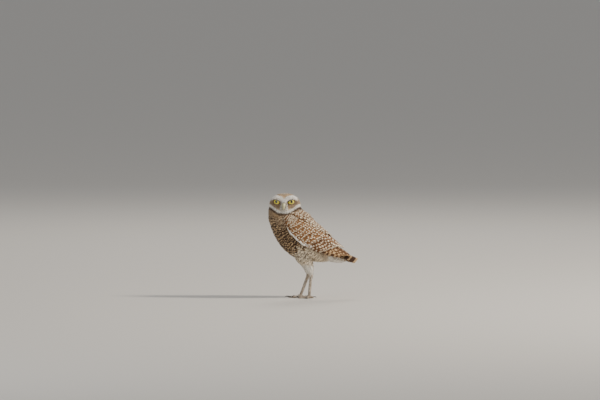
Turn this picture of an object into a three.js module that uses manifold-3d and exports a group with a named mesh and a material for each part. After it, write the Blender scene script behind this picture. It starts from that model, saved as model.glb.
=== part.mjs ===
// A burrowing owl, life size, standing on both feet and looking over its left shoulder.
// Lengths are millimetres and angles degrees. +Z is up, the breast faces -X, and -Y is the bird's left side.
// Solids that touch keep a gap of `GAP` between them.
import * as THREE from "three";
import { mergeVertices } from "three/addons/utils/BufferGeometryUtils.js";
import Module from "manifold-3d";

const wasm = await Module();
wasm.setup();

const GAP = 0.3;
const MERGE = 0.03; // detail finer than this is merged away
const VANE_MERGE = 0.13; // the same, where many vanes cross
const DEGREE = Math.PI / 180;

// The body's long axis starts in the breast, under the chin, and slopes down to the root of the tail.
const AXIS_START = { x: -62.4, z: 170.7 };
const AXIS_SLOPE = -40.3;

// Stations along the body's axis: distance, how far the section's centre lies above the axis, half depth, half width.
const TORSO = [
  [0, 0, 0, 0],
  [8, 0.5, 19.5, 19],
  [14, 3, 25, 25],
  [31, 2.5, 34.5, 32],
  [55, 0, 41, 35.5],
  [80, -2.5, 40.5, 35.5],
  [105, -2, 36, 33],
  [127, 2.5, 26.5, 26],
  [143, 6.5, 18.5, 19],
  [156, 11, 0, 0],
];

// The surface that the folded wings' feathers lie on, by the same four measures.
const WING_FORM = [
  [25, 3, 31, 31],
  [55, 0.5, 40.5, 38],
  [80, -1, 40, 39.5],
  [105, 0.5, 37, 37.5],
  [127, 5, 31.5, 32],
  [150, 13, 22.5, 24.5],
  [172, 20, 15.5, 17],
  [195, 26, 9, 10],
];

// Heights in the neck: height, the section's centre in X, half length in X, half width in Y.
const NECK = [
  [118, -8, 0, 0],
  [136, -15, 44, 33],
  [152, -23, 46.5, 33],
  [164, -29.5, 41, 30.5],
  [176, -36, 33.5, 28],
  [190, -36, 22, 20],
  [197, -36, 0, 0],
];

const HEAD_CENTRE = new THREE.Vector3(-36, 0, 179.5);
const HEAD_TURN = 73; // from straight ahead towards the bird's left
const HEAD_HALF_WIDTH = 32;
const HEAD_ABOVE = 26.5;
const HEAD_BELOW = 27;
const HEAD_FRONT = 25;
const HEAD_BACK = 30;
// Planes that part head from neck and neck from torso: height at X = 0, and climb with X.
const CHIN_CUT = { height: 171.3, slope: 0.12 };
const NECK_CUT = { height: 164, slope: 0.2 };

const EYE_APART = 12.3; // from the middle of the face
const EYE_UP = 9.6;
const EYE_RADIUS = 9;
const EYE_DEPTH = 13.6; // its centre, ahead of the head's centre
const EYE_SPLAY = 17;
const LID_THICK = 1;
const LID_OPEN = { wide: 6.9, high: 5, lower: 0.5 };

const TAIL_START = { x: 44, z: 104 };
const TAIL_SLOPE = -23.3;
const TAIL_LENGTH = 71;
const TAIL_ARCH = 11;
const TAIL_HALF_WIDTH = 18;
const TAIL_PAIRS = 6;

const VENT = { x: 60, z: 80, slope: 12, radii: [29, 12.5, 12] };

const VANE_THICK = 0.6;
const SHAFT_RISE = 0.3; // how far a long feather's middle stands above its edges

const LEG_APART = 13;
const LEGS = {
  left: { side: -1, knee: -2, ankle: 13, foot: 9.5 },
  right: { side: 1, knee: 0, ankle: 14, foot: -2.5 },
};
const ANKLE_HEIGHT = 46;
const TARSUS_RADIUS = 2.7;
const TOE_RADIUS = 2.2;
const TOES = {
  inner: { heading: -24, length: 19, claw: 10 },
  middle: { heading: 6, length: 22, claw: 9.5 },
  outer: { heading: 62, length: 16, claw: 8 },
  hind: { heading: 196, length: 9.5, claw: 8 },
};
const CLAW_RADIUS = 1.35;

const COLOURS = {
  brown: 0x7b5636,
  buff: 0xcdb592,
  cream: 0xe6ddcc,
  bill: 0xc9c08f,
  eye: 0xe5d22c,
  leg: 0xb9ab9a,
  claw: 0x2b2420,
};

// Smooth reading of one column of a table of stations, by a cubic between each two of them.
function reading(table, column, at, power = 1) {
  const value = (k) => table[k][column] ** power;
  const last = table.length - 1;
  const place = THREE.MathUtils.clamp(at, table[0][0], table[last][0]);
  let k = 0;
  while (k < last - 1 && table[k + 1][0] < place) k++;
  const slope = (i) => {
    const before = Math.max(i - 1, 0);
    const after = Math.min(i + 1, last);
    return (value(after) - value(before)) / (table[after][0] - table[before][0]);
  };
  const span = table[k + 1][0] - table[k][0];
  const t = (place - table[k][0]) / span;
  const rest = 1 - t;
  return (
    value(k) * (1 + 2 * t) * rest * rest +
    slope(k) * span * t * rest * rest +
    value(k + 1) * (3 - 2 * t) * t * t -
    slope(k + 1) * span * rest * t * t
  );
}

// Half sizes are read as squares, so that a form that starts or ends at nought has a round end.
function halfSize(table, column, at) {
  return Math.sqrt(Math.max(reading(table, column, at, 2), 0));
}

function gauss(distance, width) {
  return Math.exp(-((distance / width) ** 2));
}

function smoothStep(from, to, value) {
  const t = THREE.MathUtils.clamp((value - from) / (to - from), 0, 1);
  return t * t * (3 - 2 * t);
}

// A three.js geometry as a solid.
function solidOf(geometry) {
  const bare = geometry.clone();
  bare.deleteAttribute("normal");
  bare.deleteAttribute("uv");
  const merged = mergeVertices(bare, 1e-4);
  const mesh = new wasm.Mesh({
    numProp: 3,
    vertProperties: new Float32Array(merged.attributes.position.array),
    triVerts: new Uint32Array(merged.index.array),
  });
  return new wasm.Manifold(mesh);
}

// Six times the volume that a closed list of triangles holds, below nought where it is inside out.
function signedVolume(points, faces) {
  const cross = new THREE.Vector3();
  return faces.reduce((sum, [a, b, c]) => sum + cross.crossVectors(points[b], points[c]).dot(points[a]), 0);
}

function solidFromFaces(points, faces) {
  const turned = signedVolume(points, faces) < 0;
  const index = faces.flatMap(([a, b, c]) => (turned ? [a, c, b] : [a, b, c]));
  const geometry = new THREE.BufferGeometry().setFromPoints(points);
  geometry.setIndex(index);
  return solidOf(geometry);
}

// A closed form of rings: `at(share along, share round)` gives a point, and the first and last rings are single points.
function ringForm(rings, around, at) {
  const points = [at(0, 0)];
  for (let i = 1; i < rings; i++) {
    for (let j = 0; j < around; j++) points.push(at(i / rings, j / around));
  }
  points.push(at(1, 0));
  const end = points.length - 1;
  const spot = (i, j) => 1 + (i - 1) * around + (j % around);
  const faces = [];
  for (let j = 0; j < around; j++) {
    faces.push([0, spot(1, j), spot(1, j + 1)]);
    faces.push([end, spot(rings - 1, j + 1), spot(rings - 1, j)]);
    for (let i = 1; i < rings - 1; i++) {
      faces.push([spot(i, j), spot(i + 1, j), spot(i + 1, j + 1)]);
      faces.push([spot(i, j), spot(i + 1, j + 1), spot(i, j + 1)]);
    }
  }
  return solidFromFaces(points, faces);
}

// A round bar along a path, with a radius for each share of its length and round ends.
function bar(path, radius, rings, around, grow = 0) {
  const curve = new THREE.CatmullRomCurve3(path);
  const up = new THREE.Vector3(0, 1, 0);
  return ringForm(rings, around, (along, round) => {
    const eased = (1 - Math.cos(along * Math.PI)) / 2;
    const centre = curve.getPointAt(eased);
    const tangent = curve.getTangentAt(eased);
    const across = new THREE.Vector3().crossVectors(tangent, up).normalize();
    const over = new THREE.Vector3().crossVectors(across, tangent);
    const cap = Math.sqrt(Math.max(1 - Math.abs(2 * eased - 1) ** 12, 0));
    const r = radius(eased) * cap + (cap > 0 ? grow : 0);
    const turn = round * 2 * Math.PI;
    const reach = (2 * along - 1) * grow;
    return centre
      .addScaledVector(across, Math.cos(turn) * r)
      .addScaledVector(over, Math.sin(turn) * r)
      .addScaledVector(tangent, reach);
  });
}

const axisWay = new THREE.Vector3(Math.cos(AXIS_SLOPE * DEGREE), 0, Math.sin(AXIS_SLOPE * DEGREE));
const backWay = new THREE.Vector3(-axisWay.z, 0, axisWay.x);
const leftWay = new THREE.Vector3(0, -1, 0);

// A point of a form round the body's axis: `along` mm, `round` degrees from the back towards the bird's left, `out` mm off it.
function bodyPoint(table, along, round, out) {
  const depth = halfSize(table, 2, along) + out;
  const width = halfSize(table, 3, along) + out;
  const lift = reading(table, 1, along) + Math.cos(round * DEGREE) * depth;
  return new THREE.Vector3(AXIS_START.x, 0, AXIS_START.z)
    .addScaledVector(axisWay, along)
    .addScaledVector(backWay, lift)
    .addScaledVector(leftWay, Math.sin(round * DEGREE) * width);
}

function torsoForm(grow) {
  const start = TORSO[0][0];
  const length = TORSO[TORSO.length - 1][0] - start;
  return ringForm(20, 26, (along, round) => {
    const eased = (1 - Math.cos(along * Math.PI)) / 2;
    const pole = along === 0 || along === 1;
    const point = bodyPoint(TORSO, start + eased * length, round * 360, pole ? 0 : grow);
    return point.addScaledVector(axisWay, (2 * eased - 1) ** 9 * grow);
  });
}

function neckForm(grow) {
  const start = NECK[0][0];
  const length = NECK[NECK.length - 1][0] - start;
  return ringForm(13, 26, (along, round) => {
    const eased = (1 - Math.cos(along * Math.PI)) / 2;
    const height = start + eased * length;
    const pole = along === 0 || along === 1 ? 0 : 1;
    const turn = round * 2 * Math.PI;
    const halfLong = halfSize(NECK, 2, height) + grow * pole;
    const halfWide = halfSize(NECK, 3, height) + grow * pole;
    return new THREE.Vector3(
      reading(NECK, 1, height) + Math.cos(turn) * halfLong,
      Math.sin(turn) * halfWide,
      height + (2 * eased - 1) ** 9 * grow,
    );
  });
}

// The head's own directions: `face` looks out of the face, `cheek` points to the bird's left cheek.
const faceWay = new THREE.Vector3(-Math.cos(HEAD_TURN * DEGREE), -Math.sin(HEAD_TURN * DEGREE), 0);
const cheekWay = new THREE.Vector3(0, 0, 1).cross(faceWay);

function headPoint(cheek, up, face) {
  return HEAD_CENTRE.clone()
    .addScaledVector(cheekWay, cheek)
    .addScaledVector(faceWay, face)
    .add(new THREE.Vector3(0, 0, up));
}

// How far a place is from the line between two others, all as [cheek, up].
function fromLine([x, y], [ax, ay], [bx, by]) {
  const share = ((x - ax) * (bx - ax) + (y - ay) * (by - ay)) / ((bx - ax) ** 2 + (by - ay) ** 2);
  const t = THREE.MathUtils.clamp(share, 0, 1);
  return Math.hypot(x - ax - t * (bx - ax), y - ay - t * (by - ay));
}

// The line of each brow, as [cheek, up] from the bill's root outwards.
const BROW = [
  [1.5, 8.7],
  [8, 15.4],
  [16, 18.2],
  [25, 14.2],
];

// The face's relief: dished discs round the eyes with a raised rim, brows, the ridge over the bill, and the chin.
function faceRelief(cheek, up) {
  const side = Math.abs(cheek);
  const fromEye = Math.hypot(side - EYE_APART - 1, up - EYE_UP + 2);
  const fromDisc = Math.hypot(side - 11.5, (up - 2.5) * 1.05);
  const belowBrow = smoothStep(11, 3, up);
  const fromBrow = Math.min(...BROW.slice(1).map((end, k) => fromLine([side, up], BROW[k], end)));
  return (
    -2.2 * gauss(fromEye, 10) +
    1.3 * gauss(fromDisc - 16.5, 3.2) * belowBrow +
    2 * gauss(fromBrow, 4.2) +
    1.5 * gauss(side, 4.5) * gauss(up - 6, 8) +
    1.2 * gauss(side, 11) * gauss(up + 9.5, 4.5)
  );
}

function headForm(grow) {
  const rings = 22;
  return ringForm(rings, 34, (along, round) => {
    const polar = 180 * (along < 0.62 ? along * 0.8 : 0.496 + (along - 0.62) * 1.3263);
    const turn = round * 360;
    const way = {
      cheek: Math.sin(polar * DEGREE) * Math.sin(turn * DEGREE),
      up: Math.sin(polar * DEGREE) * Math.cos(turn * DEGREE),
      face: Math.cos(polar * DEGREE),
    };
    const power = 2 + 0.5 * smoothStep(-0.2, 0.5, way.face);
    const high = way.up > 0 ? HEAD_ABOVE : HEAD_BELOW;
    const deep = way.face > 0 ? HEAD_FRONT : HEAD_BACK;
    const sum =
      Math.abs(way.cheek / HEAD_HALF_WIDTH) ** power +
      Math.abs(way.up / high) ** power +
      Math.abs(way.face / deep) ** power;
    const radius = sum ** (-1 / power);
    const relief = faceRelief(way.cheek * radius, way.up * radius) * smoothStep(0.1, 0.6, way.face);
    const out = radius + relief + grow;
    return headPoint(way.cheek * out, way.up * out, way.face * out);
  });
}

// A ball set at a place and drawn out along its own three directions.
function ballForm(centre, radii, wide = 16, high = 11, turn = null) {
  const geometry = new THREE.SphereGeometry(1, wide, high);
  geometry.scale(...radii);
  if (turn) geometry.applyQuaternion(turn);
  geometry.translate(centre.x, centre.y, centre.z);
  return solidOf(geometry);
}

function eyeCentre(side) {
  return headPoint(side * EYE_APART, EYE_UP, EYE_DEPTH);
}

function eyeWay(side) {
  return faceWay
    .clone()
    .multiplyScalar(Math.cos(EYE_SPLAY * DEGREE))
    .addScaledVector(cheekWay, side * Math.sin(EYE_SPLAY * DEGREE));
}

function eyeForm(side, grow) {
  const radius = EYE_RADIUS + grow;
  return ballForm(eyeCentre(side), [radius, radius, radius]);
}

// What is cut away in front of an eye, so that the lids are left standing round an oval.
function lidOpening(side) {
  const geometry = new THREE.CylinderGeometry(1.25, 1, 12, 16);
  geometry.scale(LID_OPEN.wide, 1, LID_OPEN.high);
  const way = eyeWay(side);
  const across = new THREE.Vector3(0, 0, 1).cross(way).normalize();
  const basis = new THREE.Matrix4().makeBasis(across, way, new THREE.Vector3().crossVectors(across, way));
  geometry.applyMatrix4(basis);
  const place = eyeCentre(side).addScaledVector(way, 6 + 5.2);
  geometry.translate(place.x, place.y, place.z - LID_OPEN.lower);
  return solidOf(geometry);
}

// The hooked upper bill: its middle line in the head's [up, face], and its half height and half width on the way.
const UPPER_BILL = [
  [0, 6, 21.5, 3, 2.9],
  [0.25, 4.4, 25.4, 3.9, 3.3],
  [0.5, 1.1, 27.9, 3.8, 2.9],
  [0.75, -2.6, 28.8, 2.7, 2],
  [0.92, -5.4, 28.2, 1.4, 1],
  [1, -6.8, 27.6, 0.5, 0.4],
];
const LOWER_BILL = [
  [0, -2.8, 19.5, 1.9, 2.7],
  [0.5, -3.4, 23.4, 1.6, 2.2],
  [0.85, -4.1, 25.2, 1, 1.5],
  [1, -4.4, 26, 0.5, 0.8],
];
const NOSTRIL = { cheek: 2.4, up: 4.6, face: 27.2, bulge: [1.5, 1.5, 1.5], pit: 0.55 };

function billForm(table, grow) {
  const centre = (share) => [reading(table, 1, share), reading(table, 2, share)];
  return ringForm(11, 12, (along, round) => {
    const share = Math.min(along * 1.08 - 0.04, 1);
    const held = THREE.MathUtils.clamp(share, 0, 1);
    const [up, face] = centre(held);
    const [nextUp, nextFace] = centre(Math.min(held + 0.02, 1));
    const [lastUp, lastFace] = centre(Math.max(held - 0.02, 0));
    const length = Math.hypot(nextUp - lastUp, nextFace - lastFace);
    const wayUp = (nextUp - lastUp) / length;
    const wayFace = (nextFace - lastFace) / length;
    const pole = along === 0 || along === 1 ? 0 : 1;
    const halfHigh = (reading(table, 3, held) + grow) * pole;
    const halfWide = (reading(table, 4, held) + grow) * pole;
    const turn = round * 2 * Math.PI;
    const over = Math.cos(turn) * halfHigh;
    const reach = (2 * along - 1) ** 9 * grow;
    return headPoint(
      Math.sin(turn) * halfWide,
      up + wayFace * over + wayUp * reach,
      face - wayUp * over + wayFace * reach,
    );
  });
}

// The soft swelling round a nostril, or the hole in it.
function nostrilForm(side, radii, further) {
  const place = headPoint(side * (NOSTRIL.cheek + further), NOSTRIL.up, NOSTRIL.face + further);
  return ballForm(place, radii, 10, 7);
}

// A half space as a big block, below or above a plane that climbs with X.
function beyond({ height, slope }, above, gap) {
  const size = 600;
  const tilt = Math.atan(slope);
  const geometry = new THREE.BoxGeometry(size, size, size);
  geometry.translate(0, 0, (above ? 1 : -1) * (size / 2 + gap));
  geometry.rotateY(-tilt);
  geometry.translate(0, 0, height);
  return solidOf(geometry);
}

// A half space as a big block, on one side of the middle plane.
function sideBlock(side) {
  const geometry = new THREE.BoxGeometry(600, 600, 600);
  geometry.translate(0, side * (300 + GAP / 2), 0);
  return solidOf(geometry);
}

function joined(solids) {
  return solids.reduce((sum, solid) => sum.add(solid));
}

// Keeps the largest closed surface of a solid.
function largest(solid) {
  return solid.decompose().reduce((best, piece) => (piece.volume() > best.volume() ? piece : best));
}

const vaneNoise = seededRandom(7);

function seededRandom(seed) {
  let state = seed;
  return () => {
    state = (state * 1664525 + 1013904223) % 4294967296;
    return state / 4294967296;
  };
}

// One feather's vane on a surface: root and tip as [along, across], half width in mm, and the heights of root and tip.
const VANE_OUTLINE = [
  [0, 0.5],
  [0.35, 0.92],
  [0.7, 1],
  [0.89, 0.74],
  [1, 0.26],
];

function vaneForm(surface, vane) {
  const { root, tip, half, rise, roll = 0.5, outline = VANE_OUTLINE, thick = VANE_THICK, flat = false } = vane;
  const columns = flat ? [-1, 1] : [-1, 0, 1];
  const wide = columns.length;
  const points = [];
  const middle = (v) => [root[0] + (tip[0] - root[0]) * v, root[1] + (tip[1] - root[1]) * v];
  for (const [v, share] of outline) {
    const [along, across] = middle(v);
    const here = surface(along, across, 0);
    const perAlong = surface(along + 0.5, across, 0).distanceTo(here) * 2;
    const perAcross = surface(along, across + 0.5, 0).distanceTo(here) * 2;
    const way = new THREE.Vector2((tip[0] - root[0]) * perAlong, (tip[1] - root[1]) * perAcross).normalize();
    const height = rise[0] + (rise[1] - rise[0]) * v;
    for (const column of columns) {
      const aside = column * half * share;
      const a = along - (way.y * aside) / perAlong;
      const b = across + (way.x * aside) / perAcross;
      const h = height + roll * column + (column === 0 ? SHAFT_RISE : 0);
      points.push(surface(a, b, h + thick / 2), surface(a, b, h - thick / 2));
    }
  }
  const spot = (i, column, lower) => (i * wide + column) * 2 + lower;
  const faces = [];
  const quad = (a, b, c, d) => faces.push([a, b, c], [a, c, d]);
  const last = outline.length - 1;
  for (let i = 0; i < last; i++) {
    for (let column = 0; column < wide - 1; column++) {
      const top = [spot(i, column, 0), spot(i + 1, column, 0), spot(i + 1, column + 1, 0), spot(i, column + 1, 0)];
      quad(...top);
      const low = top.map((k) => k + 1);
      faces.push([low[0], low[2], low[1]], [low[0], low[3], low[2]]);
    }
    quad(spot(i, 0, 1), spot(i + 1, 0, 1), spot(i + 1, 0, 0), spot(i, 0, 0));
    quad(spot(i, wide - 1, 0), spot(i + 1, wide - 1, 0), spot(i + 1, wide - 1, 1), spot(i, wide - 1, 1));
  }
  for (let column = 0; column < wide - 1; column++) {
    quad(spot(0, column, 0), spot(0, column + 1, 0), spot(0, column + 1, 1), spot(0, column, 1));
    quad(spot(last, column, 1), spot(last, column + 1, 1), spot(last, column + 1, 0), spot(last, column, 0));
  }
  return solidFromFaces(points, faces);
}

// A row of like vanes between a first and a last one, each varied a little.
function vaneRow(surface, count, first, last, common) {
  const between = (a, b, t) => a.map((value, k) => value + (b[k] - value) * t);
  return Array.from({ length: count }, (_, k) => {
    const t = count > 1 ? k / (count - 1) : 0;
    const wander = (vaneNoise() - 0.5) * 2;
    const tip = between(first.tip, last.tip, t);
    tip[0] += wander * 0.9;
    return vaneForm(surface, {
      root: between(first.root, last.root, t),
      tip,
      half: (first.half + (last.half - first.half) * t) * (1 + wander * 0.04),
      ...common,
    });
  });
}

const leftWingSurface = (along, round, out) => bodyPoint(WING_FORM, along, round, out);

// The lower and upper edges of the folded wing, as degrees round the body from the back's middle.
const WING_EDGES = [
  [26, 92, 56],
  [42, 110, 46],
  [68, 112, 34],
  [92, 103, 24],
  [115, 94, 12],
  [135, 92, 5],
  [150, 88, 4],
];

// The wing's own bulk under its feathers: a bowed plate that thins towards the rear.
function wingCore() {
  const start = WING_EDGES[0][0];
  const end = WING_EDGES[WING_EDGES.length - 1][0];
  const rows = 12;
  const columns = 7;
  const points = [];
  for (const lower of [0, 1]) {
    for (let i = 0; i <= rows; i++) {
      for (let j = 0; j <= columns; j++) {
        const along = start + (end - start) * (i / rows);
        const share = j / columns;
        const low = reading(WING_EDGES, 1, along);
        const high = reading(WING_EDGES, 2, along);
        const inner = -5 + 3.4 * smoothStep(60, end, along);
        points.push(leftWingSurface(along, low + (high - low) * share, lower ? inner : 0.4));
      }
    }
  }
  const half = points.length / 2;
  const spot = (i, j) => i * (columns + 1) + j;
  const faces = [];
  for (let i = 0; i < rows; i++) {
    for (let j = 0; j < columns; j++) {
      const [a, b, c, d] = [spot(i, j), spot(i + 1, j), spot(i + 1, j + 1), spot(i, j + 1)];
      faces.push([a, b, c], [a, c, d]);
      faces.push([half + a, half + c, half + b], [half + a, half + d, half + c]);
    }
  }
  const rim = [];
  for (let i = 0; i < rows; i++) rim.push(spot(i, 0));
  for (let j = 0; j < columns; j++) rim.push(spot(rows, j));
  for (let i = rows; i > 0; i--) rim.push(spot(i, columns));
  for (let j = columns; j > 0; j--) rim.push(spot(0, j));
  rim.forEach((a, k) => {
    const b = rim[(k + 1) % rim.length];
    faces.push([a, half + b, b], [a, half + a, half + b]);
  });
  return solidFromFaces(points, faces);
}

const SHORT_OUTLINE = [
  [0, 0.55],
  [0.6, 1],
  [0.87, 0.8],
  [1, 0.3],
];

function wingFeathers() {
  const on = leftWingSurface;
  const short = { outline: SHORT_OUTLINE, flat: true };
  return [
    // the primaries, whose long tips lie over the tail's side
    ...vaneRow(on, 5, { root: [90, 96], tip: [156, 87], half: 6 }, { root: [100, 68], tip: [174, 42], half: 8 }, {
      rise: [-0.6, 0.6],
      roll: 0.45,
      flat: true,
    }),
    // the secondaries, then the broad tertials next to the back
    ...vaneRow(on, 6, { root: [86, 98], tip: [122, 92], half: 8 }, { root: [98, 22], tip: [156, 14], half: 10 }, {
      rise: [-0.5, 2],
      roll: 0.5,
      flat: true,
    }),
    // greater, median and lesser coverts
    ...vaneRow(on, 5, { root: [66, 106], tip: [94, 98], half: 7.8 }, { root: [78, 42], tip: [110, 34], half: 8.6 }, {
      rise: [-0.3, 2.8],
      ...short,
    }),
    ...vaneRow(on, 4, { root: [50, 105], tip: [74, 102], half: 8.8 }, { root: [58, 46], tip: [88, 42], half: 9.4 }, {
      rise: [-0.3, 3],
      ...short,
    }),
    ...vaneRow(on, 3, { root: [31, 94], tip: [56, 101], half: 9.6 }, { root: [40, 58], tip: [66, 54], half: 9.6 }, {
      rise: [-0.3, 2.8],
      ...short,
    }),
  ];
}

// The shoulder feathers, which lie over the wing's upper edge.
function scapulars() {
  const short = { outline: SHORT_OUTLINE, flat: true, roll: 0.4 };
  return [
    ...vaneRow(
      leftWingSurface,
      3,
      { root: [64, 42], tip: [96, 38], half: 8.4 },
      { root: [92, 20], tip: [130, 17], half: 9 },
      { rise: [-0.3, 3.6], ...short },
    ),
    ...vaneRow(
      leftWingSurface,
      3,
      { root: [40, 52], tip: [68, 46], half: 8.4 },
      { root: [62, 28], tip: [92, 24], half: 9 },
      { rise: [-0.3, 3.8], ...short },
    ),
  ];
}

const tailWay = new THREE.Vector3(Math.cos(TAIL_SLOPE * DEGREE), 0, Math.sin(TAIL_SLOPE * DEGREE));
const tailUp = new THREE.Vector3(-tailWay.z, 0, tailWay.x);

// The arched top of the tail: `along` mm from its root, `across` mm from its middle, `out` mm above it.
function tailSurface(along, across, out) {
  const drop = TAIL_ARCH * Math.abs(across / TAIL_HALF_WIDTH) ** 1.7;
  return new THREE.Vector3(TAIL_START.x, across, TAIL_START.z)
    .addScaledVector(tailWay, along)
    .addScaledVector(tailUp, out - drop);
}

const QUILL_OUTLINE = [
  [0, 0.4],
  [0.6, 1],
  [0.93, 0.85],
  [1, 0.45],
];

function tailFeathers(grow) {
  const vanes = [];
  for (const side of [-1, 1]) {
    for (let pair = 0; pair < TAIL_PAIRS; pair++) {
      const apart = (pair + 0.5) / TAIL_PAIRS;
      vanes.push(
        vaneForm(tailSurface, {
          root: [2, side * (1 + apart * 6)],
          tip: [TAIL_LENGTH - apart * apart * 5, side * apart * 14.5],
          half: 5.7 + grow + pair * 0.07,
          rise: [-pair * 0.35 - (side > 0 ? 0.5 : 0), -pair * 0.35 - (side > 0 ? 0.5 : 0)],
          roll: -0.35 * side,
          flat: true,
          outline: QUILL_OUTLINE,
          thick: VANE_THICK + grow * 2,
        }),
      );
    }
  }
  return vanes;
}

function tailCoverts() {
  const upper = [-1, 0, 1].map((k) =>
    vaneForm(tailSurface, {
      root: [6, k * 5],
      tip: [34 - Math.abs(k) * 5, k * 7.5],
      half: 6.4,
      rise: [0.2, 1.6],
      roll: 0,
      outline: SHORT_OUTLINE,
      flat: true,
    }),
  );
  const under = [-1.5, -0.5, 0.5, 1.5].map((k) =>
    vaneForm(tailSurface, {
      root: [4, k * 4],
      tip: [38 - Math.abs(k) * 4, k * 5.4],
      half: 5.5,
      rise: [-14.3, -9.3],
      roll: 0,
      outline: SHORT_OUTLINE,
      flat: true,
    }),
  );
  return { upper, under };
}

// The fleshy root of the tail, wide and low, that its feathers grow from.
function tailRoot() {
  const turn = new THREE.Quaternion().setFromAxisAngle(new THREE.Vector3(0, 1, 0), -TAIL_SLOPE * DEGREE);
  return ballForm(tailSurface(14, 0, -6), [19, 11, 7.5], 20, 12, turn);
}

// The soft wedge of long feathers under the tail's root.
function ventForm() {
  const turn = new THREE.Quaternion().setFromAxisAngle(new THREE.Vector3(0, 1, 0), VENT.slope * DEGREE);
  return ballForm(new THREE.Vector3(VENT.x, 0, VENT.z), VENT.radii, 20, 12, turn);
}

function legPath({ side, knee, ankle }) {
  const y = side * LEG_APART;
  return [
    new THREE.Vector3(knee - 6, y * 0.8, 100),
    new THREE.Vector3(knee + 1, y * 0.95, 82),
    new THREE.Vector3((knee + ankle) / 2 + 2, y * 1.02, 66),
    new THREE.Vector3(ankle - 1.2, y, ANKLE_HEIGHT + 8),
    new THREE.Vector3(ankle + 0.5, y, ANKLE_HEIGHT - 1),
  ];
}

const THIGH_RADII = [
  [0, 15],
  [0.35, 15.5],
  [0.6, 11],
  [0.78, 8],
  [0.92, 6],
  [1, 4.6],
];

function thighForm(leg, grow) {
  const radius = (share) => reading(THIGH_RADII, 1, share);
  return bar(legPath(leg), radius, 13, 16, grow);
}

function tarsusForm({ side, ankle, foot }, grow) {
  const y = side * LEG_APART;
  const path = [
    new THREE.Vector3(ankle + 0.8, y, ANKLE_HEIGHT + 1),
    new THREE.Vector3(ankle + (foot - ankle) * 0.3, y, ANKLE_HEIGHT * 0.72),
    new THREE.Vector3(ankle + (foot - ankle) * 0.75, y, ANKLE_HEIGHT * 0.3),
    new THREE.Vector3(foot, y, 4.4),
  ];
  const radius = (share) => TARSUS_RADIUS + 1.4 * gauss(share, 0.12) + 0.5 * gauss(share - 1, 0.1);
  return bar(path, radius, 11, 10, grow);
}

function footPad({ side, foot }, grow) {
  const radii = [4.9, 4.4, 3.6].map((r) => r + grow);
  return ballForm(new THREE.Vector3(foot - 0.6, side * LEG_APART, 3.4), radii, 12, 8);
}

function toeWay({ side }, { heading }) {
  const turn = heading * DEGREE;
  return new THREE.Vector3(-Math.cos(turn), side * Math.sin(turn), 0);
}

function toeForm(leg, toe, grow) {
  const way = toeWay(leg, toe);
  const start = new THREE.Vector3(leg.foot - 0.6, leg.side * LEG_APART, 0);
  const at = (distance, height) => start.clone().addScaledVector(way, distance).setZ(height);
  const path = [at(1, 3.2), at(5, 2.7), at(toe.length * 0.55, 1.75), at(toe.length, 1.6)];
  const radius = (share) => TOE_RADIUS - 0.35 * share + 0.22 * Math.cos(share * 5 * Math.PI);
  return bar(path, radius, 12, 8, grow);
}

function clawForm(leg, toe, grow) {
  const way = toeWay(leg, toe);
  const start = new THREE.Vector3(leg.foot - 0.6, leg.side * LEG_APART, 0);
  const at = (distance, height) => start.clone().addScaledVector(way, toe.length + distance).setZ(height);
  const path = [
    at(-1.6, 1.7),
    at(toe.claw * 0.2, 3),
    at(toe.claw * 0.5, 2.9),
    at(toe.claw * 0.74, 1.9),
    at(toe.claw * 0.84, 0.6),
  ];
  return bar(path, (share) => CLAW_RADIUS * (1 - share) ** 0.8 + 0.25, 8, 8, grow);
}

function mirrored(solid) {
  return solid.mirror([0, 1, 0]);
}

const owl = new THREE.Group();

function addNode(name, solid, colour, roughness = 0.85, merge = MERGE) {
  const mesh = largest(largest(solid).asOriginal().simplify(merge)).getMesh();
  const geometry = new THREE.BufferGeometry();
  geometry.setAttribute("position", new THREE.BufferAttribute(new Float32Array(mesh.vertProperties), 3));
  geometry.setIndex(new THREE.BufferAttribute(new Uint32Array(mesh.triVerts), 1));
  geometry.computeVertexNormals();
  const material = new THREE.MeshStandardMaterial({ color: colour, roughness, metalness: 0 });
  const node = new THREE.Mesh(geometry, material);
  node.name = name;
  owl.add(node);
}

const { bulge, pit } = NOSTRIL;
let upperBill = joined([billForm(UPPER_BILL, 0), nostrilForm(-1, bulge, 0), nostrilForm(1, bulge, 0)]);
for (const side of [-1, 1]) upperBill = upperBill.subtract(nostrilForm(side, [pit, pit, pit * 1.4], 1));
const lowerBill = billForm(LOWER_BILL, 0).subtract(billForm(UPPER_BILL, GAP));
const bulgeRoom = bulge.map((r) => r + GAP);
const billRoom = joined([
  billForm(UPPER_BILL, GAP * 2),
  billForm(LOWER_BILL, GAP * 2),
  nostrilForm(-1, bulgeRoom, 0),
  nostrilForm(1, bulgeRoom, 0),
]);
const whole = joined([headForm(0), neckForm(0), torsoForm(0)]);
const wholeGrown = joined([headForm(GAP), neckForm(GAP), torsoForm(GAP)]);

let head = whole.intersect(beyond(CHIN_CUT, true, GAP / 2));
for (const side of [-1, 1]) head = head.add(eyeForm(side, GAP + LID_THICK));
for (const side of [-1, 1]) head = head.subtract(lidOpening(side)).subtract(eyeForm(side, GAP));
head = head.subtract(billRoom);
addNode("head", head, COLOURS.brown);
addNode("neck", whole.intersect(beyond(CHIN_CUT, false, GAP / 2)).intersect(beyond(NECK_CUT, true, GAP / 2)), COLOURS.cream);
addNode("torso", whole.intersect(beyond(NECK_CUT, false, GAP / 2)), COLOURS.buff);
addNode("bill_upper", upperBill, COLOURS.bill, 0.4);
addNode("bill_lower", lowerBill, COLOURS.bill, 0.4);
addNode("eye_left", eyeForm(1, 0), COLOURS.eye, 0.1);
addNode("eye_right", eyeForm(-1, 0), COLOURS.eye, 0.1);

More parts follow.
